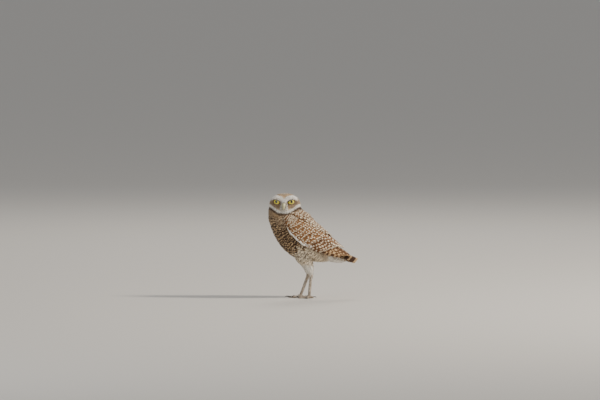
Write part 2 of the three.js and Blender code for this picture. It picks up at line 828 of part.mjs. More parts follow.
const { upper, under } = tailCoverts();
const tail = joined([tailRoot(), ventForm(), ...tailFeathers(0), ...upper, ...under]).subtract(wholeGrown);
addNode("tail", tail, COLOURS.brown, 0.85, VANE_MERGE);

const wing = joined([wingCore(), ...wingFeathers(), ...scapulars()]).subtract(joined(tailFeathers(GAP)));
addNode("wing_left", wing.intersect(sideBlock(-1)).subtract(wholeGrown), COLOURS.brown, 0.85, VANE_MERGE);
addNode("wing_right", mirrored(wing).intersect(sideBlock(1)).subtract(wholeGrown), COLOURS.brown, 0.85, VANE_MERGE);

const aboveFloor = beyond({ height: 0, slope: 0 }, true, 0);
for (const [name, leg] of Object.entries(LEGS)) {
  const thigh = thighForm(leg, 0).intersect(sideBlock(leg.side)).subtract(wholeGrown);
  addNode(`thigh_${name}`, thigh, COLOURS.cream);
  addNode(`tarsus_${name}`, tarsusForm(leg, 0).subtract(thighForm(leg, GAP)), COLOURS.leg);
  addNode(`foot_${name}`, footPad(leg, 0).subtract(tarsusForm(leg, GAP)).intersect(aboveFloor), COLOURS.leg);
  for (const [place, toe] of Object.entries(TOES)) {
    const taken = [footPad(leg, GAP), tarsusForm(leg, GAP), clawForm(leg, toe, GAP)];
    if (place === "inner" || place === "outer") taken.push(toeForm(leg, TOES.middle, GAP));
    addNode(`toe_${name}_${place}`, toeForm(leg, toe, 0).subtract(joined(taken)).intersect(aboveFloor), COLOURS.leg);
    addNode(`claw_${name}_${place}`, clawForm(leg, toe, 0).intersect(aboveFloor), COLOURS.claw, 0.3);
  }
}

// The origin is under the middle of the bird's bounds, on the floor.
const bounds = new THREE.Box3().setFromObject(owl);
const middle = bounds.getCenter(new THREE.Vector3());
owl.position.set(-middle.x, -middle.y, -bounds.min.z);

export default owl;
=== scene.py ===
"""A burrowing owl, life size, standing with its wings folded and looking over its left shoulder."""

import math

import bpy
import numpy as np
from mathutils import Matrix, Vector
from mathutils.bvhtree import BVHTree
from mathutils.kdtree import KDTree


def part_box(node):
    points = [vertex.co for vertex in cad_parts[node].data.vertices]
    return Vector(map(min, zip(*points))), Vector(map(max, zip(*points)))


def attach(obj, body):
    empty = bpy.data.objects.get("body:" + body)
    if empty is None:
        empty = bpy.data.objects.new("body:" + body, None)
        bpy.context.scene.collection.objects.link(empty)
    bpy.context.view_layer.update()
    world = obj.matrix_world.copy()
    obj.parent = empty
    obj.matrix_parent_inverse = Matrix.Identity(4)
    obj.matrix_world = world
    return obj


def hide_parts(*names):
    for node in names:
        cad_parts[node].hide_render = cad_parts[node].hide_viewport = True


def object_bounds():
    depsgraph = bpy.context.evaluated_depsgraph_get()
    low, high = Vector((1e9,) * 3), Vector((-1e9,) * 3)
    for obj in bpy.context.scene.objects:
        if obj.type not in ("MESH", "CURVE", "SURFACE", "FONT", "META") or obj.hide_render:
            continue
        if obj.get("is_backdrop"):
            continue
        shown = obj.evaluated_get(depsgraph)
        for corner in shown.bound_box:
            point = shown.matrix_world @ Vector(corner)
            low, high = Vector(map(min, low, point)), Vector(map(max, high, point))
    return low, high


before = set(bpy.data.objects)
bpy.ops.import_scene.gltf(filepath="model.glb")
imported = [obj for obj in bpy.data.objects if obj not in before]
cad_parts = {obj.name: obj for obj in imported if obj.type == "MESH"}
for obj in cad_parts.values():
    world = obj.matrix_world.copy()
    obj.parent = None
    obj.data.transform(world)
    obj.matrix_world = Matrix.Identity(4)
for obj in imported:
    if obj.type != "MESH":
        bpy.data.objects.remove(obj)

cad_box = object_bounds()

# Camera. A long lens from far off, a little above the floor and a little towards the bird's breast.
# Shapes below are in millimetres in the owl's own frame, and SHIFT takes that frame to the solids' one.
MM = 0.001
HEAD_CENTRE = np.array([-36.0, 0.0, 179.5])
HEAD_TURN = math.radians(73)
FACE_WAY = np.array([-math.cos(HEAD_TURN), -math.sin(HEAD_TURN), 0.0])
CHEEK_WAY = np.cross([0.0, 0.0, 1.0], FACE_WAY)
UP = np.array([0.0, 0.0, 1.0])
EYE = (12.3, 9.6, 13.6)  # cheek, up and face


def steps_from(start, *steps):
    """Places reached from a start by steps, each a (length, direction)."""
    for length, way in steps:
        start = start + np.asarray(length)[..., None] * way
    return start


def head_point(cheek, up, face):
    """A place by the head's own directions: towards the left cheek, up, and out of the face."""
    return steps_from(HEAD_CENTRE, (cheek, CHEEK_WAY), (up, UP), (face, FACE_WAY))


eye_low, eye_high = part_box("eye_left")
SHIFT = np.array((eye_low + eye_high) / 2) / MM - head_point(*EYE)

azimuth, elevation = math.radians(-12), math.radians(3)
view_right = np.array([math.cos(azimuth), math.sin(azimuth), 0.0])
view_ahead = np.array(
    [-math.sin(azimuth) * math.cos(elevation), math.cos(azimuth) * math.cos(elevation), -math.sin(elevation)]
)
view_up = np.cross(view_right, view_ahead)
FRAME_WIDTH = 1170.0  # mm of the bird's surroundings across the picture
LENS, SENSOR = 600, 36
target = -5.9 * view_right + 191.0 * view_up
camera_data = bpy.data.cameras.new("camera")
camera_data.lens, camera_data.sensor_width = LENS, SENSOR
distance = FRAME_WIDTH * LENS / SENSOR
camera_data.clip_start, camera_data.clip_end = 1, 300
camera = bpy.data.objects.new("camera", camera_data)
camera.location = Vector((target + SHIFT - view_ahead * distance) * MM)
camera.rotation_mode = "QUATERNION"
camera.rotation_quaternion = Vector(view_ahead).to_track_quat("-Z", "Y")
bpy.context.scene.collection.objects.link(camera)
bpy.context.scene.camera = camera

# Skin. The real bird's skin runs without a seam over head, neck, body and thighs, under its feathers.
# It is joined here from the same round forms as the solids, less the depth of the coat.
AXIS_START = np.array([-62.4, 0.0, 170.7])
AXIS_SLOPE = math.radians(-40.3)
AXIS_WAY = np.array([math.cos(AXIS_SLOPE), 0.0, math.sin(AXIS_SLOPE)])
BACK_WAY = np.array([-AXIS_WAY[2], 0.0, AXIS_WAY[0]])
LEFT_WAY = np.array([0.0, -1.0, 0.0])
# Stations of body and neck: how far along or how high, the middle line's offset, half sizes deep and wide.
TORSO = [
    (0, 0, 0, 0), (8, 0.5, 19.5, 19), (14, 3, 25, 25), (31, 2.5, 34.5, 32), (55, 0, 41, 35.5),
    (80, -2.5, 40.5, 35.5), (105, -2, 36, 33), (127, 2.5, 26.5, 26), (143, 6.5, 18.5, 19), (156, 11, 0, 0),
]
NECK = [
    (118, -8, 0, 0), (136, -15, 44, 33), (152, -23, 46.5, 33), (164, -29.5, 41, 30.5), (176, -36, 33.5, 28),
    (190, -36, 22, 20), (197, -36, 0, 0),
]
BROW = [(1.5, 8.7), (8, 15.4), (16, 18.2), (25, 14.2)]
HEAD_WIDE, HEAD_TOP, HEAD_CHIN, HEAD_FRONT, HEAD_BACK = 32, 26.5, 27.0, 25.0, 30.0
RUMP = [((60, 0, 80), (26.5, 10.5, 9.8), 12), ((54.6, 0, 93.1), (18, 10, 6.5), 23.3)]  # centre, radii, pitch
THIGH_RADII = [(0, 15), (0.35, 15.5), (0.6, 11), (0.78, 8), (0.92, 6), (1, 4.6)]
LEGS = {"left": (-1, -2, 13, 9.5), "right": (1, 0, 14, -2.5)}  # side, and X of knee, ankle and foot
LEG_APART = 13
ANKLE_HEIGHT = 46
COAT_BODY, COAT_HEAD, COAT_THIGH = 2.4, 1.5, 1.4
VOXEL = 1.1


def reading(table, column, at, power=1):
    """One column of a table of stations, read at any place by a cubic between each two of them."""
    table = np.asarray(table, float)
    x, y = table[:, 0], table[:, column] ** power
    at = np.clip(np.asarray(at, float), x[0], x[-1])
    slope = np.empty_like(y)
    slope[1:-1] = (y[2:] - y[:-2]) / (x[2:] - x[:-2])
    slope[0], slope[-1] = (y[1] - y[0]) / (x[1] - x[0]), (y[-1] - y[-2]) / (x[-1] - x[-2])
    k = np.clip(np.searchsorted(x, at, "right") - 1, 0, len(x) - 2)
    span = x[k + 1] - x[k]
    t = (at - x[k]) / span
    rest = 1 - t
    return (
        y[k] * (1 + 2 * t) * rest**2
        + slope[k] * span * t * rest**2
        + y[k + 1] * (3 - 2 * t) * t**2
        - slope[k + 1] * span * rest * t**2
    )


def half_size(table, column, at):
    """A half size, read as its square so that the form's ends are round."""
    return np.sqrt(np.maximum(reading(table, column, at, 2), 0))


def gauss(distance, width):
    """1 at no distance, falling off as a bell of that width."""
    return np.exp(-((distance / width) ** 2))


def smooth_step(start, end, value):
    """0 at start and 1 at end, eased between them."""
    t = np.clip((value - start) / (end - start), 0, 1)
    return t * t * (3 - 2 * t)


def unit(way, least=0.0):
    """Directions of length one; least keeps one of no length from a division by nothing."""
    return way / (np.linalg.norm(way, axis=-1, keepdims=True) + least)


def laid(way, normal, least=0.0):
    """Directions laid flat on a surface by its normals."""
    return unit(way - np.einsum("ij,ij->i", way, normal)[:, None] * normal, least)


def body_places(p):
    """How far places are along the body's axis, and from it towards the back."""
    return (p - AXIS_START) @ AXIS_WAY, (p - AXIS_START) @ BACK_WAY


def eased(start, end, steps):
    """Steps from start to end that are closer together near both."""
    return start + (end - start) * (1 - np.cos(np.linspace(0, 1, steps) * math.pi)) / 2


def turns(around):
    """Even angles round a full turn."""
    return np.arange(around) * 2 * math.pi / around


def body_point(table, along, around, out):
    """Round the body's axis: along it, round it from the back towards the left, and out from the form."""
    deep = half_size(table, 2, along) + out
    wide = half_size(table, 3, along) + out
    lift = reading(table, 1, along) + np.cos(around) * deep
    return steps_from(AXIS_START, (along, AXIS_WAY), (lift, BACK_WAY), (np.sin(around) * wide, LEFT_WAY))


def from_line(x, y, a, b):
    """How far places are from the line between two others."""
    share = ((x - a[0]) * (b[0] - a[0]) + (y - a[1]) * (b[1] - a[1])) / math.dist(a, b) ** 2
    t = np.clip(share, 0, 1)
    return np.hypot(x - a[0] - t * (b[0] - a[0]), y - a[1] - t * (b[1] - a[1]))


def from_brow(side, up):
    """How far places on the face are from the brow's bent line."""
    return np.min([from_line(side, up, a, b) for a, b in zip(BROW, BROW[1:])], axis=0)


def face_relief(cheek, up):
    """Dished discs round the eyes with a raised rim, the brows, the ridge over the bill, and the chin."""
    side = np.abs(cheek)
    from_eye = np.hypot(side - EYE[0] - 1, up - EYE[1] + 2)
    from_disc = np.hypot(side - 11.5, (up - 2.5) * 1.05)
    return (
        -2.2 * gauss(from_eye, 10)
        + 1.3 * gauss(from_disc - 16.5, 3.2) * smooth_step(11, 3, up)
        + 2.0 * gauss(from_brow(side, up), 4.2)
        + 1.5 * gauss(side, 4.5) * gauss(up - 6, 8)
        + 1.2 * gauss(side, 11) * gauss(up + 9.5, 4.5)
    )


def head_surface(polar, turn, out):
    """The head's rounded box in polar form about the way the face looks, with the relief of its face."""
    cheek, up, face = np.sin(polar) * np.sin(turn), np.sin(polar) * np.cos(turn), np.cos(polar)
    power = 2 + 0.5 * smooth_step(-0.2, 0.5, face)
    high = np.where(up > 0, HEAD_TOP, HEAD_CHIN)
    deep = np.where(face > 0, HEAD_FRONT, HEAD_BACK)
    parts = (np.abs(part) ** power for part in (cheek / HEAD_WIDE, up / high, face / deep))
    radius = sum(parts) ** (-1 / power)
    reach = radius + face_relief(cheek * radius, up * radius) * smooth_step(0.1, 0.6, face) + out
    return head_point(cheek * reach, up * reach, face * reach)


def closed(rings, first, last):
    """Points and faces of a form made of rings, with a single point at each end."""
    count, around = rings.shape[:2]
    spot = 1 + np.arange(count * around).reshape(count, around)
    after = np.roll(spot, -1, axis=1)
    quads = np.stack([spot[:-1], spot[1:], after[1:], after[:-1]], -1).reshape(-1, 4)
    first_fan = np.stack([np.zeros(around, int), spot[0], after[0]], -1)
    last_fan = np.stack([np.full(around, count * around + 1), after[-1], spot[-1]], -1)
    points = np.concatenate([[first], rings.reshape(-1, 3), [last]])
    return points, [quads, np.concatenate([first_fan, last_fan])]


def joined(forms):
    """Several forms as one: all their points, and their faces numbered on."""
    points, faces, first = [], [], 0
    for form, its_faces in forms:
        points.append(form)
        faces += [face + first for face in its_faces]
        first += len(form)
    return np.concatenate(points), faces


def path_frames(path, shares):
    """Places on a smooth curve through a path's points, by shares of its length, its way, two crossways."""
    path = np.asarray(path, float)
    ends = np.concatenate([[2 * path[0] - path[1]], path, [2 * path[-1] - path[-2]]])
    t = np.linspace(0, 1, 24, endpoint=False)[:, None]
    fine = [
        0.5 * (2 * b + (c - a) * t + (2 * a - 5 * b + 4 * c - d) * t**2 + (3 * b - a - 3 * c + d) * t**3)
        for a, b, c, d in zip(ends, ends[1:], ends[2:], ends[3:])
    ]
    fine = np.concatenate([*fine, [path[-1]]])
    run = np.concatenate([[0], np.cumsum(np.linalg.norm(np.diff(fine, axis=0), axis=1))])
    at = np.asarray(shares) * run[-1]
    place, ahead, behind = (
        np.stack([np.interp(at + step, run, fine[:, k]) for k in range(3)], -1) for step in (0, 0.05, -0.05)
    )
    way = unit(ahead - behind)
    across = unit(np.cross(way, [0, 1, 0]))
    return place, way, across, np.cross(across, way)


def bar(path, radius, rings, around, squash=None):
    """A round bar along a path, with round ends: radius by share of length, squash by share and turn."""
    shares = eased(0, 1, rings + 2)
    place, _, across, over = path_frames(path, shares)
    turn = turns(around)
    cap = np.sqrt(np.maximum(1 - np.abs(2 * shares - 1) ** 12, 0))
    size = (radius(shares) * cap)[:, None] * np.ones(around)
    if squash is not None:
        size = size + squash(shares[:, None], turn) * cap[:, None]
    steps = (np.cos(turn) * size, across[:, None]), (np.sin(turn) * size, over[:, None])
    return closed(steps_from(place[:, None], *steps)[1:-1], place[0], place[-1])


def ball(centre, radii, pitch=0.0, rings=22, around=32):
    """A ball drawn out along its three directions and pitched by an angle about Y."""
    polar = np.linspace(0, math.pi, rings + 2)[:, None]
    turn = turns(around)
    parts = np.sin(polar) * np.cos(turn), np.sin(polar) * np.sin(turn), np.cos(polar)
    form = np.stack(np.broadcast_arrays(*parts), -1) * radii
    c, s = math.cos(pitch), math.sin(pitch)
    form = np.asarray(centre, float) + form @ [[c, 0, -s], [0, 1, 0], [s, 0, c]]
    return closed(form[1:-1], form[0, 0], form[-1, 0])


def give(mesh, values):
    """Values by point as a mesh's attributes: four numbers are a colour."""
    for label, value in values.items():
        kind, field = ("FLOAT_COLOR", "color") if value.ndim == 2 else ("FLOAT", "value")
        mesh.attributes.new(label, kind, "POINT").data.foreach_set(field, value.astype(np.float32).ravel())


def mesh_from(name, points, faces, uvs=None, values=None):
    """A smooth mesh from points in mm and lists of faces, facing out. uvs and values are given by point."""
    points = np.asarray(points, float)
    triangles = np.concatenate([f[:, [0, k, k + 1]] for f in faces for k in range(1, f.shape[1] - 1)])
    middle = points.mean(0)
    a, b, c = (points[triangles[:, k]] - middle for k in range(3))
    if np.einsum("ij,ij", a, np.cross(b, c)) < 0:
        faces = [f[:, ::-1] for f in faces]
    mesh = bpy.data.meshes.new(name)
    corners = np.concatenate([f.ravel() for f in faces]).astype(np.int32)
    sides = np.concatenate([np.full(len(f), f.shape[1]) for f in faces])
    mesh.vertices.add(len(points))
    mesh.vertices.foreach_set("co", ((points + SHIFT) * MM).astype(np.float32).ravel())
    mesh.loops.add(len(corners))
    mesh.loops.foreach_set("vertex_index", corners)
    mesh.polygons.add(len(sides))
    mesh.polygons.foreach_set("loop_start", (np.cumsum(sides) - sides).astype(np.int32))
    mesh.polygons.foreach_set("use_smooth", np.ones(len(sides), bool))
    mesh.update(calc_edges=True)
    for layer, uv in (uvs or {}).items():
        mesh.uv_layers.new(name=layer).uv.foreach_set("vector", uv[corners].astype(np.float32).ravel())
    give(mesh, values or {})
    return mesh


def piece_from(name, mesh, material, slot, *nodes):
    """Puts a mesh in the scene as a piece of the owl that stands for the named solids."""
    piece = bpy.data.objects.new(name, mesh)
    bpy.context.scene.collection.objects.link(piece)
    mesh.materials.append(material)
    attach(piece, "root")
    if nodes:
        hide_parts(*nodes)


def form_piece(name, form, material, slot, *nodes, uvs=None, values=None):
    """A piece of the owl from a form's points and faces."""
    piece_from(name, mesh_from(name, *form, uvs, values), material, slot, *nodes)


def thigh_path(side, knee, ankle):
    """Places down the middle of a thigh."""
    y = side * LEG_APART
    return [
        (knee - 6, y * 0.8, 100),
        (knee + 1, y * 0.95, 82),
        ((knee + ankle) / 2 + 2, y * 1.02, 66),
        (ankle - 1.2, y, ANKLE_HEIGHT + 8),
        (ankle + 0.5, y, ANKLE_HEIGHT - 1),
    ]


def flesh_forms():
    """The closed forms that the skin is joined from, as points and faces."""
    turn = turns(64)
    along = eased(0, 156, 50)[1:-1, None]
    ends = body_point(TORSO, [2.0, 153.5], 0.0, 0.0)
    yield closed(body_point(TORSO, along, turn, -COAT_BODY), *ends)
    height = eased(120, 195, 40)[1:-1, None]
    x = reading(NECK, 1, height) + np.cos(turn) * (half_size(NECK, 2, height) - COAT_BODY)
    y = np.sin(turn) * (half_size(NECK, 3, height) - COAT_BODY)
    yield closed(np.stack(np.broadcast_arrays(x, y, height), -1), (-8, 0, 120), (-36, 0, 195))
    polar = np.linspace(0, math.pi, 72)
    poles = head_surface(polar[[0, -1]], 0.0, -COAT_HEAD)
    yield closed(head_surface(polar[1:-1, None], turn, -COAT_HEAD), *poles)
    for side, knee, ankle, _ in LEGS.values():
        radius = lambda share: np.maximum(reading(THIGH_RADII, 1, share) - COAT_THIGH, 1)
        yield bar(thigh_path(side, knee, ankle), radius, 30, 32)
    for centre, radii, pitch in RUMP:
        yield ball(centre, radii, math.radians(pitch))


def joined_skin():
    """All the flesh forms in one mesh, melted together by small cubes and evened out."""
    rough = bpy.data.objects.new("rough_skin", mesh_from("rough_skin", *joined(flesh_forms())))
    bpy.context.scene.collection.objects.link(rough)
    remesh = rough.modifiers.new("melt", "REMESH")
    remesh.mode, remesh.voxel_size = "VOXEL", VOXEL * MM
    even = rough.modifiers.new("even", "SMOOTH")
    even.factor, even.iterations = 0.5, 8
    made = bpy.data.meshes.new_from_object(rough.evaluated_get(bpy.context.evaluated_depsgraph_get()))
    bpy.data.objects.remove(rough)
    made.name = "skin"
    return made


def rows_of(items, field, kind=np.float32):
    """One field of all of a mesh's items, three numbers a row."""
    values = np.empty(len(items) * 3, kind)
    items.foreach_get(field, values)
    return values.reshape(-1, 3)


skin_mesh = joined_skin()
skin_mesh.calc_loop_triangles()
skin_points = rows_of(skin_mesh.vertices, "co").astype(float) / MM - SHIFT
skin_normals = rows_of(skin_mesh.vertices, "normal").astype(float)
skin_triangles = rows_of(skin_mesh.loop_triangles, "vertices", np.int32)
skin_tree = BVHTree.FromPolygons(skin_points.tolist(), skin_triangles.tolist())
skin_mesh.polygons.foreach_set("use_smooth", np.ones(len(skin_mesh.polygons), bool))


def on_skin(places):
    """The nearest places on the skin, with its smooth normals there."""
    found = [skin_tree.find_nearest(Vector(p)) for p in places]
    at = np.array([f[0] for f in found])
    corners = skin_triangles[[f[2] for f in found]]
    a, b, c = (skin_points[corners[:, k]] for k in range(3))
    areas = [np.linalg.norm(np.cross(q - at, r - at), axis=1) for q, r in ((b, c), (c, a), (a, b))]
    weight = np.stack(areas, -1) + 1e-9
    weight /= weight.sum(1, keepdims=True)
    normal = sum(weight[:, k, None] * skin_normals[corners[:, k]] for k in range(3))
    return at, unit(normal)


# Plumage. What each place of the coat wears: its ground and mark colours, its pattern, and the way it lies.
# The same words serve the skin and every feather that grows from it.
def colour(code):
    """Linear colour from a six-figure code."""
    value = np.array([int(code[k : k + 2], 16) for k in (0, 2, 4)]) / 255
    return np.append(np.where(value < 0.04045, value / 12.92, ((value + 0.055) / 1.055) ** 2.4), 1.0)


BROWN = colour("6f4c2e")
DARK_BROWN = colour("3f2a1c")
TAN = colour("96683c")
BUFF = colour("c9a77c")
CREAM = colour("ead9bd")
WHITE = colour("f4eee3")
GREY_BROWN = colour("85705b")


def mixed(ground, other, share):
    """A colour that goes from one to another by a share."""
    return ground + (other - ground) * np.asarray(share)[..., None]


def head_places(p):
    """How far places are towards the left cheek, up, and out of the face from the head's centre."""
    rel = p - HEAD_CENTRE
    return rel @ CHEEK_WAY, rel[:, 2], rel @ FACE_WAY


def head_share(p):
    """1 on the head, 0 below the chin's plane."""
    return smooth_step(-4, 4, p[:, 2] - (171.3 + 0.12 * p[:, 0]) + 3)


def thigh_share(p):
    """1 on the thighs."""
    return smooth_step(76, 66, p[:, 2]) * smooth_step(33, 26, p[:, 0])


def vent_share(p):
    """1 under the tail."""
    return smooth_step(34, 46, p[:, 0]) * smooth_step(92, 84, p[:, 2] + 0.35 * (p[:, 0] - 40))


def plumage(p):
    """Ground colour, mark colour, and the strength of spots, bars and pale tips, by place."""
    along, lift = body_places(p)
    front = smooth_step(8, -16, lift)  # 0 on the back, 1 underneath
    patchy = 0.3 * np.sin(p[:, 0] * 0.9 + 2 * np.sin(p[:, 1] * 0.7)) * np.sin(p[:, 1] * 0.8 + p[:, 2] * 0.9)
    low = smooth_step(0.4, 0.6, smooth_step(52, 104, along) + patchy)  # 0 on the breast, 1 on the belly
    breast, belly = front * (1 - low), front * low
    vent, thigh = vent_share(p), thigh_share(p)
    # throat: a white chin over a dark collar, with a pale bib below it
    cheek, up, face = head_places(p)
    side = np.abs(cheek)
    ahead = smooth_step(-12, 4, face)
    below = up - (9.5 * smooth_step(6, 28, side) - 11.5)
    collar = np.exp(-(((below + 0.6) / 2.7) ** 4)) * ahead
    bib = gauss(below + 9, 4.5) * ahead * smooth_step(30, 16, side)
    # face: brown discs that are darkest round the eyes, and white brows, lores, chin and cheek bands
    on_face = head_share(p) * smooth_step(-2, 8, face)
    from_eye = np.hypot(side - EYE[0] - 1.5, up - EYE[1])
    brow = on_face * smooth_step(4.3, 2.7, from_brow(side, up))
    disc = smooth_step(23, 19, np.hypot(side - 10, up - 3)) * on_face
    disc_colour = mixed(BUFF, GREY_BROWN, 0.25 + 0.5 * gauss(side - 24, 6))
    lore = smooth_step(9, 6, side) * smooth_step(14, 10, up) * smooth_step(-5, 1, up)
    chin = on_face * smooth_step(20, 12, side) * smooth_step(-4, -7, up) * smooth_step(-0.5, 1.5, below)
    band = on_face * smooth_step(1.2, 2.4, below) * smooth_step(8.6, 6.0, below)
    plain = np.maximum.reduce([disc, brow, chin, band])
    crown = head_share(p) * smooth_step(14, 20, up + 0.35 * np.maximum(-face, 0)) * (1 - np.minimum(plain, 1))
    ground = np.tile(BROWN, (len(p), 1))
    for other, share in (
        (TAN, 0.25 * smooth_step(20, 60, along)),
        # partly painted shade: the breast's ground is its own brown, made darker still on the side that faces
        # away from the light
        (DARK_BROWN * [0.85, 0.85, 0.85, 1], breast),
        (CREAM, belly),
        (WHITE, vent),
        (WHITE, thigh * 0.85),
        (BUFF, bib * 0.25),
        (disc_colour, disc),
        (WHITE, disc * lore * 0.9),
        (GREY_BROWN * [0.75, 0.7, 0.65, 1], disc * gauss(from_eye - 7.5, 2.2) * 0.75),
        (WHITE, np.maximum(brow * (1 - smooth_step(22, 27, side)), chin)),
        (WHITE, band * 0.92),
        (DARK_BROWN, collar * smooth_step(36, 30, side) * 0.92),
        (BROWN * [0.85, 0.8, 0.75, 1], crown * 0.9),
    ):
        ground = mixed(ground, other, share)
    mark = mixed(CREAM, BUFF * [1.2, 1.25, 1.3, 1], breast)
    mark = mixed(mark, DARK_BROWN * [1.3, 1.1, 1.0, 1], belly)
    # no marks under the tail and on the thighs, and few on the face
    marked = 1 - np.maximum(vent, thigh * 0.95)
    spots = (1 - front) * marked * (1 - plain) * (1 - collar)
    bars = front * (0.85 + 0.05 * low) * marked * (1 - plain)
    tips = 0.25 * (1 - front) * marked * (1 - 0.7 * plain) * (1 - collar)
    return ground, mark, np.stack([spots, bars, tips, np.ones(len(p))], -1)


def lie_of(p, normal):
    """The way the feathers point: from the bill over the head, and down the body to the tail."""
    eye = head_point(np.sign(head_places(p)[0]) * EYE[0], EYE[1] - 1, 18)
    near_eye = smooth_step(17, 8, np.linalg.norm(p - eye, axis=1))[:, None]
    from_bill, from_eye = unit(p - head_point(0, 5, 24)), unit(p - eye)
    head = from_bill * (1 - near_eye) + from_eye * near_eye
    high = smooth_step(110, 150, p[:, 2])[:, None]
    way = AXIS_WAY * (1 - 0.45 * high) - UP * 0.75 * high
    thigh, vent = np.array([0.16, 0.0, -1.0]), np.array([0.97, 0.0, -0.22])
    for other, share in ((head, head_share(p)), (thigh, thigh_share(p)), (vent, vent_share(p))):
        way = mixed(way, other, share)
    return laid(way, normal, 1e-9)


def feed(value, socket):
    """Links a node's output to a socket, or sets the socket to a constant."""
    if isinstance(value, Value):
        socket.id_data.links.new(value.socket, socket)
    else:
        socket.default_value = value


class Value:
    """An output of a shader node, which sums and products are written with as with a number."""

    def __init__(self, socket):
        self.socket = socket

    def math(self, operation, *others, clamp=False):
        """This value worked on with others."""
        made = self.socket.id_data.nodes.new("ShaderNodeMath")
        made.operation, made.use_clamp = operation, clamp
        for value, socket in zip((self, *others), made.inputs):
            feed(value, socket)
        return Value(made.outputs[0])

    def __add__(self, other):
        return self.math("ADD", other)

    def __sub__(self, other):
        return self.math("SUBTRACT", other)

    def __mul__(self, other):
        return self.math("MULTIPLY", other)

    def __truediv__(self, other):
        return self.math("DIVIDE", other)

    def ramp(self, start, end):
        """0 at start and 1 at end, eased between them."""
        made = self.socket.id_data.nodes.new("ShaderNodeMapRange")
        made.interpolation_type = "SMOOTHSTEP"
        for key, value in (("Value", self), ("From Min", start), ("From Max", end)):
            feed(value, made.inputs[key])
        return Value(made.outputs[0])


class Paint:
    """A material, and short words for the nodes that feed its shader."""

    def __init__(self, name, roughness):
        self.material = bpy.data.materials.new(name)
        self.material.use_nodes = True
        self.tree = self.material.node_tree
        self.put("Roughness", roughness)
        self.place = self.node("TexCoord", "Object")

    def put(self, name, value):
        """Feeds one input of the shader."""
        feed(value, self.tree.nodes["Principled BSDF"].inputs[name])

    def node(self, kind, output, inputs=None, **settings):
        """One output of a new node."""
        made = self.tree.nodes.new("ShaderNode" + kind)
        for key, value in settings.items():
            setattr(made, key, value)
        for key, value in (inputs or {}).items():
            feed(value, made.inputs[key])
        return Value(made.outputs[output])

    def noise(self, scale, detail=2.0):
        """Cloudy noise about 0.5, fixed to the object."""
        return self.node("TexNoise", "Fac", {"Vector": self.place, "Scale": scale, "Detail": detail})

    def attribute(self, name, output="Fac"):
        """What the mesh gives under a name."""
        return self.node("Attribute", output, attribute_name=name)

    def split(self, vector):
        """The three numbers of a vector."""
        made = self.tree.nodes.new("ShaderNodeSeparateXYZ")
        feed(vector, made.inputs[0])
        return [Value(made.outputs[key]) for key in "XYZ"]

    def mix(self, share, a, b, kind="MIX"):
        """A colour between two others, or their product."""
        made = self.tree.nodes.new("ShaderNodeMix")
        made.data_type, made.blend_type = "RGBA", kind
        sockets = {socket.identifier: socket for socket in (*made.inputs, *made.outputs)}
        for key, value in (("Factor_Float", share), ("A_Color", a), ("B_Color", b)):
            feed(value, sockets[key])
        return Value(sockets["Result_Color"])

    def bump(self, height, strength, distance):
        """Tilts the surface's light by a height, at most a distance in metres."""
        inputs = {"Strength": strength, "Distance": distance, "Height": height}
        self.put("Normal", self.node("Bump", "Normal", inputs))


def feather_material(name, barbs, lengthwise, notched=0.0, bar_edge=0.4, stray=2.4):
    """A vane's colours by its own across and along, and in mm by its size: ground, marks, tip, barbs and
    painted shade.
    """
    paint = Paint(name, 0.8)
    sideways, along, _ = paint.split(paint.node("UVMap", "UV", uv_map="vane"))
    chance = paint.attribute("chance")
    spotted, barred, tipped = paint.split(paint.attribute("pattern", "Vector"))
    half, length, radius = paint.split(paint.attribute("size", "Vector"))
    wobble = paint.noise(800) - 0.5
    across = (sideways * 2.0 - 1.0).math("ABSOLUTE")
    down = (along * -1.0 + 1.0) * length  # mm from the tip

    def oval(from_shaft, from_tip, share):
        """A dot beside the shaft, by shares of the half width and of the dot's radius, with a ragged rim."""
        aside = (across - from_shaft) * half
        ahead = (down + (chance - 0.5) * 1.4 - radius * from_tip) * 0.8
        far = (aside * aside + ahead * ahead).math("SQRT") / (radius * share)
        return (far + wobble).ramp(1.15, 0.85)

    second = oval(0.56, 6.2, 0.8) * chance.ramp(0.25, 0.5)
    spots = oval(0.5, 2.3, 1.0).math("MAXIMUM", second)
    bend = wobble * 2.0 + across * -0.9 + (paint.noise(170, 1.0) - 0.5) * (stray * 2.4) + chance * stray
    wave = (down / paint.attribute("size", "Alpha") * (2 * math.pi) + bend).math("SINE")
    bars = wave.ramp(bar_edge, bar_edge + 0.3)
    if notched:
        bars = bars * across.ramp(notched, notched + 0.12)
    tip = (down + wobble).ramp(2.0, 1.2)
    marks = (spots * spotted).math("MAXIMUM", bars * barred).math("MAXIMUM", tip * tipped, clamp=True)
    shown = paint.mix(marks, paint.attribute("ground", "Color"), paint.attribute("mark", "Color"))
    # barbs run out from the shaft towards the tip
    barb = ((along * barbs - across * lengthwise + wobble * 0.5) * (2 * math.pi)).math("SINE")
    shaft = across.ramp(0.03, 0.1)
    light = barb * 0.07 + paint.noise(240, 3.0) * 0.35 + chance * 0.2 + shaft * 0.12
    # painted shade: each vane is darker towards its edges and lighter only in its last 5 mm, so it is darker
    # where the feathers around it overlap it
    light = light + across.ramp(0.65, 1.0) * -0.16 + down.ramp(5.0, 0.0) * 0.12 + 0.56
    paint.put("Base Color", paint.mix(1.0, shown, light, "MULTIPLY"))
    paint.bump(barb * 0.5 + shaft * -0.6, 0.45, 0.00014)
    paint.put("Sheen Weight", 0.12)
    paint.put("Sheen Roughness", 0.5)
    paint.put("Specular IOR Level", 0.2)
    return paint.material


